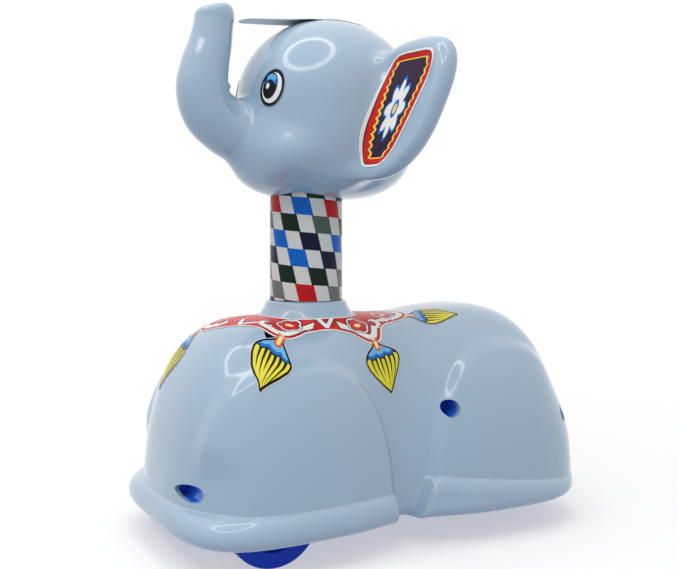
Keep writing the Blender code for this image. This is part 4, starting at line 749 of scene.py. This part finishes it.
def newMaterial(name, colour, rough=0.2, metallic=0.0, coat=0.0, scale=60, cloud=0.05, uneven=0.05, waves=0.02,
                specular=0.5):
    # colour is a plain colour, or a function that builds one in the material's own tree
    material, tree = bareMaterial(name)
    source = colour(tree) if callable(colour) else colour
    surface = groupNode(tree, surfaceGroup, ("Color", source), ("Scale", scale), ("Cloud", cloud),
                        ("Roughness", rough), ("Uneven", uneven), ("Waves", waves))
    feed(tree.nodes["Principled BSDF"], ("Base Color", surface["Color"]), ("Roughness", surface["Roughness"]),
         ("Normal", surface["Normal"]), ("Metallic", metallic), ("Coat Weight", coat), ("Coat Roughness", 0.08),
         ("Specular IOR Level", specular))
    return material


def paint(piece, material):
    piece.data.materials.clear()
    piece.data.materials.append(material)


def dress(piece, material, node, body):
    paint(piece, material)
    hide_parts(node)
    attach(piece, body)


# Neck wrap: a printed sleeve of small squares, a little askew, that runs up into the head
wrapShape = dict(metres(square=6.7, firstTop=130.5, topZ=134, thickness=0.3),
                 around=14, firstTurn=-21, lean=0.255, slope=0.083, share=0.56, segments=168)
wrapInks = dict(white=ink(214, 212, 207), red=ink(190, 20, 28), blue=ink(4, 98, 192), navy=ink(10, 17, 48),
                green=ink(8, 34, 22), greyGreen=ink(76, 92, 84), grey=ink(112, 114, 110))
wrapRows = (("blue", "red"), ("green", "greyGreen"), ("navy", "blue"), ("blue", "navy"), ("green", "grey", "green"),
            ("red", "grey"), ("navy", "green"))


def wrapColour(tree):
    s = wrapShape
    uv = tree.nodes.new("ShaderNodeUVMap").outputs["UV"]
    across, down = addNode(tree, "ShaderNodeSeparateXYZ", (0, uv)).outputs[:2]

    def calc(operation, *values):
        return mathNode(tree, operation, *values)

    def askew(value, other, share):
        return calc("SUBTRACT", value, calc("MULTIPLY", calc("SUBTRACT", other, 0.5), share))

    rowNumber = calc("FLOOR", askew(down, across, s["slope"]))
    odd = calc("FLOORED_MODULO", rowNumber, 2.0)
    pair = calc("MULTIPLY", calc("ADD", askew(across, down, s["lean"]), odd), 0.5)
    pairNumber = calc("FLOOR", pair)
    printed = calc("LESS_THAN", calc("SUBTRACT", pair, pairNumber), s["share"])
    rowKind = calc("FLOORED_MODULO", rowNumber, float(len(wrapRows)))
    colour = wrapInks["white"]
    for index, names in enumerate(wrapRows):
        here = calc("MULTIPLY", calc("COMPARE", rowKind, float(index), 0.1), printed)
        turn = calc("FLOORED_MODULO", pairNumber, float(len(names)))
        for number, name in enumerate(names):
            mine = calc("MULTIPLY", here, calc("COMPARE", turn, float(number), 0.1))
            colour = mixColour(tree, mine, colour, wrapInks[name])
    return colour


def makeNeckWrap():
    s = wrapShape
    deselect()
    radius = (wrapHigh.x - wrapLow.x) / 2
    bpy.ops.mesh.primitive_cylinder_add(vertices=s["segments"], radius=radius, depth=s["topZ"] - wrapLow.z,
                                        end_fill_type="NOTHING", location=(0, neckY, (wrapLow.z + s["topZ"]) / 2))
    bpy.ops.object.transform_apply(location=True, rotation=True, scale=True)
    wrap = takeActive("neckWrap")
    layer = wrap.data.uv_layers.active.data
    middle = radians(cameraSet["azimuth"] - 90)       # the side that faces the camera; the print's seam is behind
    for face in wrap.data.polygons:
        start = nearTurn(atan2(face.center.y - neckY, face.center.x) - middle)
        for loop in face.loop_indices:
            co = wrap.data.vertices[wrap.data.loops[loop].vertex_index].co
            turn = start + nearTurn(atan2(co.y - neckY, co.x) - middle - start)
            layer[loop].uv = ((turn - radians(s["firstTurn"])) / tau * s["around"],
                              (s["firstTop"] - co.z) / s["square"])
    applyModifier(wrap, "SOLIDIFY", thickness=s["thickness"], offset=-1, use_even_offset=False)
    shadeSmooth(wrap, 40)
    dress(wrap, newMaterial("checkerWrap", wrapColour, rough=0.26, specular=0.14, scale=80), "neck_wrap", "head")


makeNeckWrap()
print("stage: neck wrap")


# Labels: fine sheets laid on the surface; their prints are drawn from fields in millimetres that the points carry
labelShape = dict(metres(lift=0.1, thickness=0.12, stride=0.2), weld=4e-7)
farOff = 50.0            # what a field is, in millimetres, where its figure is nowhere near
labelInks = dict(white=ink(236, 234, 228), red=ink(208, 34, 28), navy=ink(26, 24, 72), cream=ink(250, 226, 170),
                 yellow=ink(226, 214, 58), orange=ink(238, 168, 72), black=ink(14, 16, 20), sky=ink(112, 178, 222),
                 blue=ink(28, 108, 196), plum=ink(52, 34, 58), gold=ink(246, 214, 84), paleSky=ink(178, 206, 228),
                 glow=ink(92, 172, 226), rim=ink(120, 150, 180), back=ink(226, 226, 227))


def printMaterial(name, ground, bands):
    # bands: (field, low, high, name of the ink), one laid over the other
    def colour(tree):
        fields = {}
        under = labelInks[ground]
        for field, low, high, over in bands:
            if field not in fields:
                fields[field] = addNode(tree, "ShaderNodeAttribute", attribute_name=field).outputs["Fac"]
            under = groupNode(tree, inkBand, ("Under", under), ("Ink", labelInks[over]), ("Field", fields[field]),
                              ("Low", low), ("High", high))["Color"]
        return under
    return newMaterial(name, colour, rough=0.28, specular=0.16, scale=90, cloud=0.06, uneven=0.08, waves=0.03)


def dropOn(tree, places, direction):
    # the points and normals met on a surface by rays from the places
    met, normals = np.empty_like(places), np.empty_like(places)
    for spot in np.ndindex(places.shape[:-1]):
        point, normal = tree.ray_cast(Vector(places[spot]), direction)[:2]
        if point is None:
            point, normal = tree.find_nearest(Vector(places[spot]))[:2]
        met[spot], normals[spot] = point, -normal if normal.dot(direction) > 0 else normal
    return met, normals


def overBody(x, y):
    # the body's top at a place, as it is without the screw pockets
    tree = collarTree if hypot(x, y - neckY) < collarShape["openRadius"] else plainTree
    point, normal = tree.ray_cast(Vector((x, y, 0.2)), Vector((0, 0, -1)))[:2]
    return point, normal if normal.z > 0 else -normal


def marchOver(start, turn, distances):
    # points at the given distances along the body's surface from a start, heading away at a turn
    stride = Vector((sin(turn), -cos(turn), 0)) * labelShape["stride"]
    here, normal = overBody(start.x, start.y)
    run, points, index = 0.0, [], 0
    while index < len(distances):
        ahead = here + stride
        there, following = overBody(ahead.x, ahead.y)
        length = (there - here).length
        while index < len(distances) and distances[index] <= run + length:
            points.append((here.lerp(there, (distances[index] - run) / length), normal))
            index += 1
        run += length
        here, normal = there, following
    return points


def layLabel(name, points, normals, facing, materials, node, body, **fields):
    # a sheet with its fields: its ends welded, its print outward, its thickness; a second material is for its back
    s = labelShape
    piece = addGrid(name, points + normals * s["lift"])
    for title, values in fields.items():
        layer = piece.data.attributes.new(title, "FLOAT", "POINT")
        layer.data.foreach_set("value", np.ascontiguousarray(values, np.float32).ravel())
    for material in materials:
        piece.data.materials.append(material)
    work = openMesh(piece)
    bmesh.ops.remove_doubles(work, verts=work.verts, dist=s["weld"])
    work.normal_update()
    if sum(face.normal.dot(Vector(facing)) for face in work.faces) < 0:
        bmesh.ops.reverse_faces(work, faces=work.faces)
    closeMesh(work, piece)
    applyModifier(piece, "SOLIDIFY", thickness=s["thickness"], offset=1, use_even_offset=False,
                  material_offset=len(materials) - 1)
    shadeSmooth(piece, 40)
    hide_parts(node)
    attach(piece, body)


def edgeDistance(across, along):
    # how far each point of a grid lies inside the outline of its first and last columns
    first, last = (np.stack([across[:, column], along[:, column]], -1) for column in (0, -1))
    outline = np.vstack([first, last[::-1]])
    flat = np.stack([across.ravel(), along.ravel()], -1)
    best = np.full(len(flat), 1e3)
    for start, end in zip(outline, np.roll(outline, -1, 0)):
        line = end - start
        share = np.clip(((flat - start) @ line) / max(line @ line, 1e-9), 0, 1)
        best = np.minimum(best, np.hypot(*(flat - start - share[:, None] * line).T))
    return best.reshape(across.shape)


caparison = dict(innerX=18.3, innerY=19.4, outerX=21.5, outerY=38, lobeReach=6.6, lobeSpread=14.5,
                 columns=720, rows=42, waves=11, waveDepth=0.45, waveSpread=0.5, rimSteps=24,
                 lobes=((-16, 4, 31), (46, -4, 28.5), (124, -25, 23), (164, -4, 24), (225, 25, 23), (301, 4, 28.5)),
                 tasselWidths=(1.1, 1.07, 1.3, 1.2, 1.3, 1.07),
                 flower=10.4, petalRing=2.2, petal=1.6, petals=5, dot=1.1, line=0.36, border=0.6, scroll=(1.9, 4.4),
                 lobeHalf=8.5, curl=(8.4, 6.4), curlRadius=2.9, eye=(7.4, 7.2), eyeRadius=1.3, dotSquash=0.7,
                 valleyApart=50, valleySlope=0.75, valleyFoot=1.6, valleyWidth=0.8, valleyEnds=(1.2, 7.5))
tassel = dict(length=22.0, inset=2, rows=110, columns=23, border=0.14, outline=0.72,
              knots=((0, 1.3), (2.8, 1.35), (3.8, 2.3), (5.4, 4.2), (7.4, 5.7), (9.5, 6.3), (12, 6), (15, 4.6),
                     (18, 2.7), (20.5, 1.1), (22, 0.3)), margin=2, samples=400, bell=2.2, bellSteps=11,
              capEdge=8.2, scallop=1.0, scallopWidth=4.0, scallopLevel=0.6, stem=4.3, stemHalf=0.85,
              strandHalf=0.5,
              strands=((-0.66, 12), (-0.4, 11.5), (-0.14, 12.5), (0.12, 9), (0.36, 10.5), (0.62, 8.5)))


def ovalRadius(turn, across, along):
    return 1 / np.hypot(np.sin(turn) / across, np.cos(turn) / along)


def caparisonEdge(turn):
    s = caparison
    radius = ovalRadius(turn, s["outerX"], s["outerY"])
    for middle, _, _ in s["lobes"]:
        away = nearTurn(turn - radians(middle))
        radius = radius + s["lobeReach"] * np.exp(-((away / radians(s["lobeSpread"])) ** 2))
        waves = s["waveDepth"] * np.abs(np.sin(away * s["waves"]))
        radius = radius + waves * np.exp(-((away / s["waveSpread"]) ** 4))
    return radius


def makeCaparison():
    s = caparison
    turn = np.linspace(0, tau, s["columns"] + 1)
    share = np.linspace(0, 1, s["rows"])[:, None]
    inner, outer = ovalRadius(turn, s["innerX"], s["innerY"]), caparisonEdge(turn)
    radius = inner + (outer - inner) * share
    places = np.stack([radius * np.sin(turn) * mm, neckY - radius * np.cos(turn) * mm], -1)
    points, normals = (np.empty((*radius.shape, 3)) for _ in range(2))
    for spot in np.ndindex(radius.shape):
        points[spot], normals[spot] = overBody(*places[spot])
    normals[:, -1], points[:, -1] = normals[:, 0], points[:, 0]
    steps = np.linalg.norm(np.diff(points, axis=0), axis=2) / mm
    run = np.vstack([np.zeros(len(turn)), np.cumsum(steps, 0)])

    def fromEdge(middle):
        # millimetres sideways of a direction and inward of the edge
        away = nearTurn(turn - middle)
        return away * radius, run[-1, np.argmin(np.abs(away))] - run

    flower, dot, curl, eye, lobe, valley, edge = (np.full(run.shape, farOff) for _ in range(7))
    for middle, _, _ in s["lobes"]:
        across, up = fromEdge(radians(middle))
        reach = np.hypot(across, up - s["flower"])
        angle = np.arctan2(across, s["flower"] - up)
        fold = (angle + pi / s["petals"]) % (tau / s["petals"]) - pi / s["petals"]
        petal = np.hypot(reach * np.cos(fold) - s["petalRing"], reach * np.sin(fold)) - s["petal"]
        flower = np.minimum(flower, np.minimum(petal, reach - s["petalRing"]))
        dot = np.minimum(dot, np.hypot(across * s["dotSquash"], up - s["flower"]) - s["dot"])
        aside = np.abs(across)
        lobe = np.minimum(lobe, aside - s["lobeHalf"])
        curl = np.minimum(curl, np.hypot(aside - s["curl"][0], up - s["curl"][1]) - s["curlRadius"])
        eye = np.minimum(eye, np.hypot(aside - s["eye"][0], up - s["eye"][1]) - s["eyeRadius"])
    middles = sorted(radians(middle) % tau for middle, _, _ in s["lobes"])
    for here, there in zip(middles, middles[1:] + [middles[0] + tau]):
        if there - here < radians(s["valleyApart"]):
            continue
        across, up = fromEdge((here + there) / 2)
        outside = (up < s["valleyEnds"][0]) | (up > s["valleyEnds"][1])
        arm = np.abs(np.abs(across) - s["valleySlope"] * (up - s["valleyFoot"]))
        valley = np.minimum(valley, arm * s["valleyWidth"] + farOff * outside)
    for shift in range(-s["rimSteps"], s["rimSteps"] + 1):
        rim = np.roll(points[-1, :-1], shift, 0)
        rim = np.vstack([rim, rim[:1]])
        edge = np.minimum(edge, np.linalg.norm(points - rim[None], axis=2) / mm)
    low, high = s["scroll"]
    scroll = np.minimum(np.maximum(np.maximum(edge - high, low - edge), lobe), curl)
    line, border = s["line"], s["border"]
    bands = (("scroll", -90, line, "navy"), ("scroll", -90, 0, "white"), ("eye", -9, line, "navy"),
             ("eye", -9, 0, "red"), ("flower", -9, 1.0 + line, "navy"), ("flower", -9, 1.0, "white"),
             ("flower", -9, line, "navy"), ("flower", -9, 0, "red"), ("dot", -9, 0.0, "cream"),
             ("valley", -1, 1.25, "navy"), ("valley", -1, 0.8, "white"), ("edge", border, low - 2 * line, "red"),
             ("edge", -1, border, "white"), ("run", -1, 0.35, "white"))
    layLabel("caparisonLabel", points, normals, (0, 0, 1), [printMaterial("caparisonPrint", "red", bands)],
             "caparison_label", "body", edge=edge, run=run, flower=flower, dot=dot, scroll=scroll, eye=eye,
             valley=valley)


def tasselWidth(along):
    # the outline through the knots, with its corners rounded off
    s = tassel
    fine = np.linspace(-s["margin"], s["length"] + s["margin"], s["samples"])
    values = np.interp(fine, *np.array(s["knots"]).T)
    bell = np.exp(-np.linspace(-s["bell"], s["bell"], 2 * s["bellSteps"] + 1) ** 2)
    values = np.convolve(np.pad(values, s["bellSteps"], "edge"), bell / bell.sum(), "valid")
    return np.interp(along, fine, values)


def makeTassel(number, turnDegrees, lean, length, material):
    s = tassel
    size = length / s["length"]
    turn = radians(turnDegrees)
    heading = turn + radians(lean)
    radius = (float(caparisonEdge(np.array(turn))) - s["inset"]) * mm
    root = Vector((radius * sin(turn), neckY - radius * cos(turn), 0))
    along = np.linspace(0, s["length"], s["rows"])
    width = tasselWidth(along) * caparison["tasselWidths"][number - 1]
    shares = np.linspace(0, 1, s["columns"])
    centres = marchOver(root, heading, list(along * size * mm))
    points = np.empty((s["rows"], 2 * s["columns"] - 1, 3))
    normals = np.empty_like(points)
    for row, (centre, _) in enumerate(centres):
        for side, sign in ((1, -1), (-1, 1)):
            line = marchOver(centre, heading + side * pi / 2, list(width[row] * shares * size * mm))
            for column, (point, up) in enumerate(line):
                points[row, s["columns"] - 1 + sign * column] = point
                normals[row, s["columns"] - 1 + sign * column] = up
    across = width[:, None] * np.concatenate([-shares[::-1], shares[1:]])[None, :]
    down = np.repeat(along[:, None], across.shape[1], 1)
    wave = np.abs(np.cos(pi * across / s["scallopWidth"])) - s["scallopLevel"]
    cap = down - s["capEdge"] - s["scallop"] * wave
    strand = np.full(across.shape, farOff)
    for share, reach in s["strands"]:
        taper = np.clip((down - s["capEdge"]) / reach, 0, 1)
        strand = np.minimum(strand, np.abs(across - share * width[:, None]) - s["strandHalf"] * (1 - taper))
    stem = np.hypot(across, np.maximum(down - s["stem"], 0)) - s["stemHalf"]
    layLabel(f"tassel{number}", points, normals, (0, 0, 1), [material], f"tassel_label_{number}", "body",
             edge=edgeDistance(across, down), cap=cap, strand=strand, stem=stem)


def makeTassels():
    border = tassel["border"]
    inner = border + tassel["outline"]
    bands = (("strand", -9, 0, "black"), ("cap", -90, 0.45, "black"), ("cap", -90, -0.1, "blue"),
             ("cap", -90, -1.3, "sky"), ("cap", -90, -3.4, "paleSky"), ("edge", border, inner, "black"),
             ("edge", -1, border, "white"), ("stem", -9, 0.5, "red"), ("stem", -9, 0.02, "orange"),
             ("stem", -9, -0.4, "cream"))
    material = printMaterial("tasselPrint", "yellow", bands)
    for number, lobe in enumerate(caparison["lobes"], 1):
        makeTassel(number, *lobe, material)


makeCaparison()
makeTassels()
print("stage: body labels")


# Head labels: eyes, ears and the printed visor on the crown
eyeShape = dict(turn=27, height=171, tilt=12, halfWidth=5.5, halfHeight=7.3, rows=61, columns=49,
                border=0.2, outline=0.95, iris=(-0.9, 0.6), irisRadii=(3.3, 5.0), pupil=(-1.2, -0.6),
                pupilRadii=(2.3, 3.6), shine=(-2.0, 0.4), shineRadii=(0.75, 1.15), glow=(-1.1, 3.6),
                glowRadii=(2.2, 1.5), irisLine=0.45, lowFrom=2.2, lowCurve=0.3, dropFrom=45)
earLabel = dict(shift=0.12, halfLength=10.5, halfHeight=21, taper=0.3, squareness=4.4, rows=141, columns=61,
                border=0.8, red=2.6, scallops=2.9, scallopDepth=0.95, petals=8, petalReach=(2.6, 2.1), squash=0.48,
                heart=1.6, dropFrom=-30.0)
visorShape = dict(back=34, front=-29, liftY=2, crestDrop=1, slope=0.06, rows=160, columns=53, border=0.8,
                  dropFrom=230, red=2.6, scallops=4.4, scallopDepth=0.9, petals=6, petalReach=(3.4, 1.5), squash=0.62,
                  flowerY=6, heart=1.8,
                  outline=((-29, 0.6), (-28.4, 3), (-26, 5.2), (-10, 6.4), (-4, 7.6), (2, 10.4), (8, 12.6), (16, 13),
                           (26, 11), (31, 7.5), (34, 0.6)))


def ellipseField(across, up, centre, radii):
    return (np.hypot((across - centre[0]) / radii[0], (up - centre[1]) / radii[1]) - 1) * min(radii)


def unitGrid(s):
    # rows that crowd toward both ends, and even columns
    v = np.sin(np.linspace(-pi / 2, pi / 2, s["rows"]))[:, None] * 0.9995
    return v, np.linspace(-1, 1, s["columns"])[None, :]


def makeEyes():
    s = eyeShape
    bands = (("iris", -9, 0, "black"), ("iris", -9, -s["irisLine"], "blue"), ("low", 0.3, 9, "black"),
             ("glow", -9, 0, "glow"), ("pupil", -9, 0, "black"), ("shine", -9, 0, "white"),
             ("edge", -1, s["outline"] + s["border"], "black"), ("edge", -1, s["border"], "rim"))
    material = printMaterial("eyePrint", "white", bands)
    turn, tilt = radians(s["turn"]), radians(s["tilt"])
    v, u = unitGrid(s)
    across, up = u * np.sqrt(1 - v ** 2) * s["halfWidth"], v * s["halfHeight"] + 0 * u
    a, b = across * cos(tilt) + up * sin(tilt), up * cos(tilt) - across * sin(tilt)
    edge = (1 - np.hypot(across / s["halfWidth"], up / s["halfHeight"])) * s["halfWidth"]
    fields = {title: ellipseField(across, up, s[title], s[title + "Radii"])
              for title in ("iris", "glow", "pupil", "shine")}
    low = np.where(fields["iris"] < -s["irisLine"], s["lowFrom"] - up - s["lowCurve"] * np.abs(across), -9)
    for side, node, name in ((1, "eye_label_left", "eyeLeft"), (-1, "eye_label_right", "eyeRight")):
        facing = np.array((side * sin(turn), -cos(turn), 0))
        sideways = np.array((side * cos(turn), sin(turn), 0))
        centre = np.array((0, headShape["centre"][1], s["height"])) + facing * s["dropFrom"]
        places = (centre + a[..., None] * sideways + b[..., None] * np.array((0, 0, 1))) * mm + np.array(neckAxis)
        layLabel(name, *dropOn(headTree, places, Vector(-facing)), facing, [material], node, "head",
                 edge=edge, low=low, **fields)


def flowerFields(s, across, up, x, y):
    # a scalloped border, and a flower with a heart about the place where x and y are nought
    edge = edgeDistance(across, up)
    reach, angle = np.hypot(x, y * s["squash"]), np.arctan2(y * s["squash"], x)
    petals = s["petalReach"][0] + s["petalReach"][1] * np.abs(np.cos(angle * s["petals"] / 2))
    scallop = edge - s["red"] - s["scallopDepth"] * np.abs(np.sin(pi * up / s["scallops"]))
    return dict(edge=edge, scallop=scallop, burst=reach - petals, heart=reach - s["heart"])


def makeEarLabels():
    s, e = earLabel, earShape
    bands = (("burst", -9, 1.0, "blue"), ("burst", -9, 0.35, "white"), ("heart", -9, 0, "blue"),
             ("heart", -9, -0.7, "gold"), ("scallop", -90, 0.55, "gold"), ("scallop", -90, -0.25, "red"),
             ("edge", -1, s["border"] + 0.3, "black"), ("edge", -1, s["border"], "white"))
    material = printMaterial("earPrint", "plum", bands)
    n, sweep = s["squareness"], radians(e["sweep"])
    v, u = unitGrid(s)
    width = (1 - np.abs(v) ** n) ** (1 / n) * (1 + s["taper"] * v)
    across, up = u * width * s["halfLength"], v * s["halfHeight"] + 0 * u
    along, rise = (across / e["halfLength"] + s["shift"]).ravel(), (up / e["halfHeight"]).ravel()
    fields = flowerFields(s, across, up, across, up)
    for side, node, name in ((1, "ear_label_left", "earLabelLeft"), (-1, "ear_label_right", "earLabelRight")):
        inward = np.array((-side * sin(sweep), cos(sweep), 0))
        flat = earPoint(side, along, rise, s["dropFrom"])
        places = flat.reshape(*across.shape, 3) * mm + np.array(neckAxis)
        layLabel(name, *dropOn(headTree, places, Vector(inward)), -inward, [material], node, "head", **fields)


def makeVisor():
    s = visorShape
    y = np.linspace(s["back"], s["front"], s["rows"])[:, None]
    width = np.interp(y, *np.array(s["outline"]).T)
    x = width * np.linspace(-1, 1, s["columns"])[None, :]
    y = y + 0 * x
    places = np.stack([x, np.maximum(y, s["liftY"]), 0 * x + s["dropFrom"]], -1) * mm + np.array(neckAxis)
    points, normals = dropOn(headTree, places, Vector((0, 0, -1)))
    crest = points[np.argmin(np.abs(y[:, 0] - s["liftY"])), s["columns"] // 2, 2]
    share = smoothStep((s["liftY"] - y) / (s["liftY"] - s["front"]) * 2)
    rise = s["slope"] * np.minimum(y - s["liftY"], 0) * mm
    level = points[..., 2] + (crest - s["crestDrop"] * mm - points[..., 2]) * share + rise
    points = np.stack([points[..., 0], y * mm + neckY, level], -1)
    normals = normals * (1 - share[..., None]) + np.array((0, 0, 1.0)) * share[..., None]
    normals = normals / np.linalg.norm(normals, axis=2)[..., None]
    bands = (("burst", -9, 1.9, "navy"), ("burst", -9, 1.4, "white"), ("burst", -9, 0.3, "navy"),
             ("burst", -9, 0, "gold"), ("heart", -9, 0, "blue"), ("scallop", -90, 0.4, "gold"),
             ("scallop", -90, -0.3, "navy"), ("edge", -1, s["border"], "white"))
    back = newMaterial("labelBack", labelInks["back"], rough=0.5, scale=120, cloud=0.1)
    layLabel("visor", points, normals, (0, 0, 1), [printMaterial("visorPrint", "red", bands), back], "brow_label",
             "head", **flowerFields(s, x, y, x, y - s["flowerY"]))


makeEyes()
makeEarLabels()
makeVisor()
print("stage: head labels")


# Plastics and metal
# the deep blue ink is painted shade, laid on the deep inside of the screw pockets
plasticInks = dict(lightBlue=ink(160, 182, 201), pocketShadeBlue=ink(36, 104, 214), royal=ink(10, 62, 196),
                   white=ink(226, 226, 218), darkSteel=ink(168, 171, 176), paleSteel=ink(214, 216, 220))


def shellColourWithPocketShade(tree):
    # painted shade: a pocket's wall turns deep blue with its depth in millimetres, standing in for the shade and blue
    # inter-reflection deep in the hole; the plastic itself is light blue
    s = pocketShape
    depth = addNode(tree, "ShaderNodeAttribute", attribute_name="pocket").outputs["Fac"]
    return groupNode(tree, inkBand, ("Under", plasticInks["lightBlue"]), ("Ink", plasticInks["pocketShadeBlue"]),
                     ("Field", depth), ("Low", s["shadeFrom"]), ("High", s["shadeTo"]),
                     ("Soft", s["shadeSoft"]))["Color"]


def steelColour(tree):
    place = tree.nodes.new("ShaderNodeTexCoord").outputs["Object"]
    stretched = addNode(tree, "ShaderNodeMapping", (0, place), ("Scale", (8.0, 900.0, 900.0))).outputs[0]
    grain = addNode(tree, "ShaderNodeTexNoise", ("Vector", stretched), ("Scale", 3.0), ("Detail", 2.0))
    return mixColour(tree, grain.outputs["Fac"], plasticInks["darkSteel"], plasticInks["paleSteel"])


slotMaterials = dict(
    light_blue_plastic=newMaterial("lightBluePlastic", shellColourWithPocketShade, rough=0.15, coat=0.5, scale=26, cloud=0.05,
                                   uneven=0.05, waves=0.012),
    royal_blue_plastic=newMaterial("royalBluePlastic", plasticInks["royal"], rough=0.3, specular=0.2, scale=40,
                                   cloud=0.08),
    white_gear_plastic=newMaterial("whiteGearPlastic", plasticInks["white"], rough=0.38, scale=70, cloud=0.06,
                                   uneven=0.1),
    steel=newMaterial("steel", steelColour, rough=0.3, metallic=1.0, scale=200, cloud=0.1, uneven=0.16),
    printed_label=newMaterial("plainLabel", labelInks["white"], rough=0.3, scale=90))


for subpart in frame["record"]["subparts"]:
    paint(nodes[subpart["node"]], slotMaterials[subpart["material_slot"]])
for piece in (bodyLeft, bodyRight, head):
    paint(piece, slotMaterials["light_blue_plastic"])
print("stage: materials")


# Wheels: turned, with rounded treads; the front ones have a hub, a recessed web and a rim
wheelShape = dict(metres(hub=4.5, rimDepth=6, webRecess=1.6, edge=0.9, bore=1.8, soft=0.3), steps=96)


def makeWheel(name, node, body, side, solid):
    s = wheelShape
    low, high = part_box(node)
    radius = (high.z - low.z) / 2
    inner, outer = sorted((abs(low.x), abs(high.x)))
    soft, web, rim = s["soft"], outer - s["webRecess"], radius - s["rimDepth"]
    profile = [(s["bore"], outer - soft), (s["bore"] + soft, outer)]
    if not solid:
        profile += [(s["hub"] - soft, outer), (s["hub"], outer - soft), (s["hub"] + soft, web),
                    (rim - soft, web), (rim, outer - soft), (rim + soft, outer)]
    for angle in np.linspace(0, pi / 2, 7):
        profile.append((radius - s["edge"] * (1 - sin(angle)), outer - s["edge"] * (1 - cos(angle))))
    points = profile + [(r, inner + outer - x) for r, x in reversed(profile)]
    deselect()
    bpy.ops.mesh.primitive_circle_add(vertices=len(points), radius=1, fill_type="NOTHING")
    wheel = takeActive(name)
    for vertex, (r, x) in zip(wheel.data.vertices, points):
        vertex.co = (side * x, 0, r)
    startEdit(wheel)
    bpy.ops.mesh.spin(steps=s["steps"], angle=tau, center=(0, 0, 0), axis=(1, 0, 0))
    bpy.ops.object.mode_set(mode="OBJECT")
    mergeDoubles(wheel, 1e-6)
    wheel.data.transform(Matrix.Translation((0, (low.y + high.y) / 2, (low.z + high.z) / 2)))
    shadeSmooth(wheel, 35)
    dress(wheel, slotMaterials["royal_blue_plastic"], node, body)


for side, title in ((1, "left"), (-1, "right")):
    makeWheel(f"driveWheel{title.title()}", f"drive_wheel_{title}", "front_wheels", side, False)
    makeWheel(f"rearWheel{title.title()}", f"rear_wheel_{title}", "rear_wheels", side, True)
print("stage: wheels")


# Studio: a white floor that keeps the shadow, a ring light overhead and an even white surround
studio = dict(floorHalf=0.9, floorInk=ink(247, 247, 246), floorLit=ink(172, 187, 203), fadeStart=0.1, fadeEnd=0.4,
              fade=0.5, surround=0.58, zenith=0.8, ringTurn=(0.160, -0.391, 0.905), ringDistance=0.9, ringRadius=0.36,
              ringWidth=0.075, ringLight=5.6, ringAbout=(0, 0, 0.1))
plainWhite = (1, 1, 1, 1)


def addEmission(tree, colour, strength):
    return addNode(tree, "ShaderNodeEmission", ("Color", colour), ("Strength", strength)).outputs[0]


def seenDirectly(tree):
    # 1 for what the camera sees, straight or in a reflection
    path = tree.nodes.new("ShaderNodeLightPath").outputs
    seen = mathNode(tree, "MAXIMUM", path["Is Camera Ray"], path["Is Glossy Ray"])
    return mathNode(tree, "MAXIMUM", seen, path["Is Transmission Ray"])


def makeFloor():
    s = studio
    deselect()
    bpy.ops.mesh.primitive_plane_add(size=2 * s["floorHalf"])
    floor = takeActive("floor")
    material, tree = bareMaterial("floor")
    seen = seenDirectly(tree)
    colour = mixColour(tree, seen, s["floorLit"], s["floorInk"])
    shader = feed(tree.nodes["Principled BSDF"], ("Base Color", colour), ("Roughness", 0.9),
                  ("Specular IOR Level", 0.0))
    place = tree.nodes.new("ShaderNodeTexCoord").outputs["Object"]
    reach = addNode(tree, "ShaderNodeVectorMath", (0, place), operation="LENGTH").outputs["Value"]
    fade = addNode(tree, "ShaderNodeMapRange", ("Value", reach), ("From Min", s["fadeStart"]),
                   ("From Max", s["fadeEnd"]), ("To Min", s["fade"]), interpolation_type="SMOOTHSTEP").outputs[0]
    bright = addEmission(tree, mixColour(tree, seen, s["floorLit"], plainWhite), 1.0)
    mix = addNode(tree, "ShaderNodeMixShader", (0, fade), (1, shader.outputs[0]), (2, bright)).outputs[0]
    feed(tree.nodes["Material Output"], ("Surface", mix))
    paint(floor, material)


def makeRing():
    s = studio
    deselect()
    bpy.ops.mesh.primitive_torus_add(major_segments=96, minor_segments=12, major_radius=s["ringRadius"],
                                     minor_radius=s["ringWidth"] / 2)
    ring = takeActive("ringLight")
    toward = Vector(s["ringTurn"]).normalized()
    ring.data.transform(Matrix.Translation(toward * s["ringDistance"] + Vector(s["ringAbout"]))
                        @ toward.to_track_quat("Z", "Y").to_matrix().to_4x4())
    material, tree = bareMaterial("ringLight")
    tree.nodes.remove(tree.nodes["Principled BSDF"])
    feed(tree.nodes["Material Output"], ("Surface", addEmission(tree, plainWhite, s["ringLight"])))
    paint(ring, material)
    ring.visible_camera = False
    ring.visible_shadow = False


def makeSurround():
    # white as a backdrop; as a light, brighter from overhead than from the sides
    s = studio
    world = bpy.data.worlds.new("surround")
    bpy.context.scene.world = world
    world.use_nodes = True
    tree = world.node_tree
    place = tree.nodes.new("ShaderNodeTexCoord").outputs["Generated"]
    height = addNode(tree, "ShaderNodeSeparateXYZ", (0, place)).outputs[2]
    level = addNode(tree, "ShaderNodeMapRange", ("Value", height), ("From Min", 0.0), ("From Max", 1.0),
                    ("To Min", s["surround"]), ("To Max", s["zenith"])).outputs[0]
    light = feed(tree.nodes["Background"], ("Color", plainWhite), ("Strength", level)).outputs[0]
    backdrop = addNode(tree, "ShaderNodeBackground", ("Color", plainWhite), ("Strength", 1.0)).outputs[0]
    mix = addNode(tree, "ShaderNodeMixShader", (0, seenDirectly(tree)), (1, light), (2, backdrop)).outputs[0]
    feed(tree.nodes["World Output"], ("Surface", mix))


makeFloor()
makeRing()
makeSurround()
bpy.context.scene.view_settings.view_transform = "Standard"
print("stage: studio")
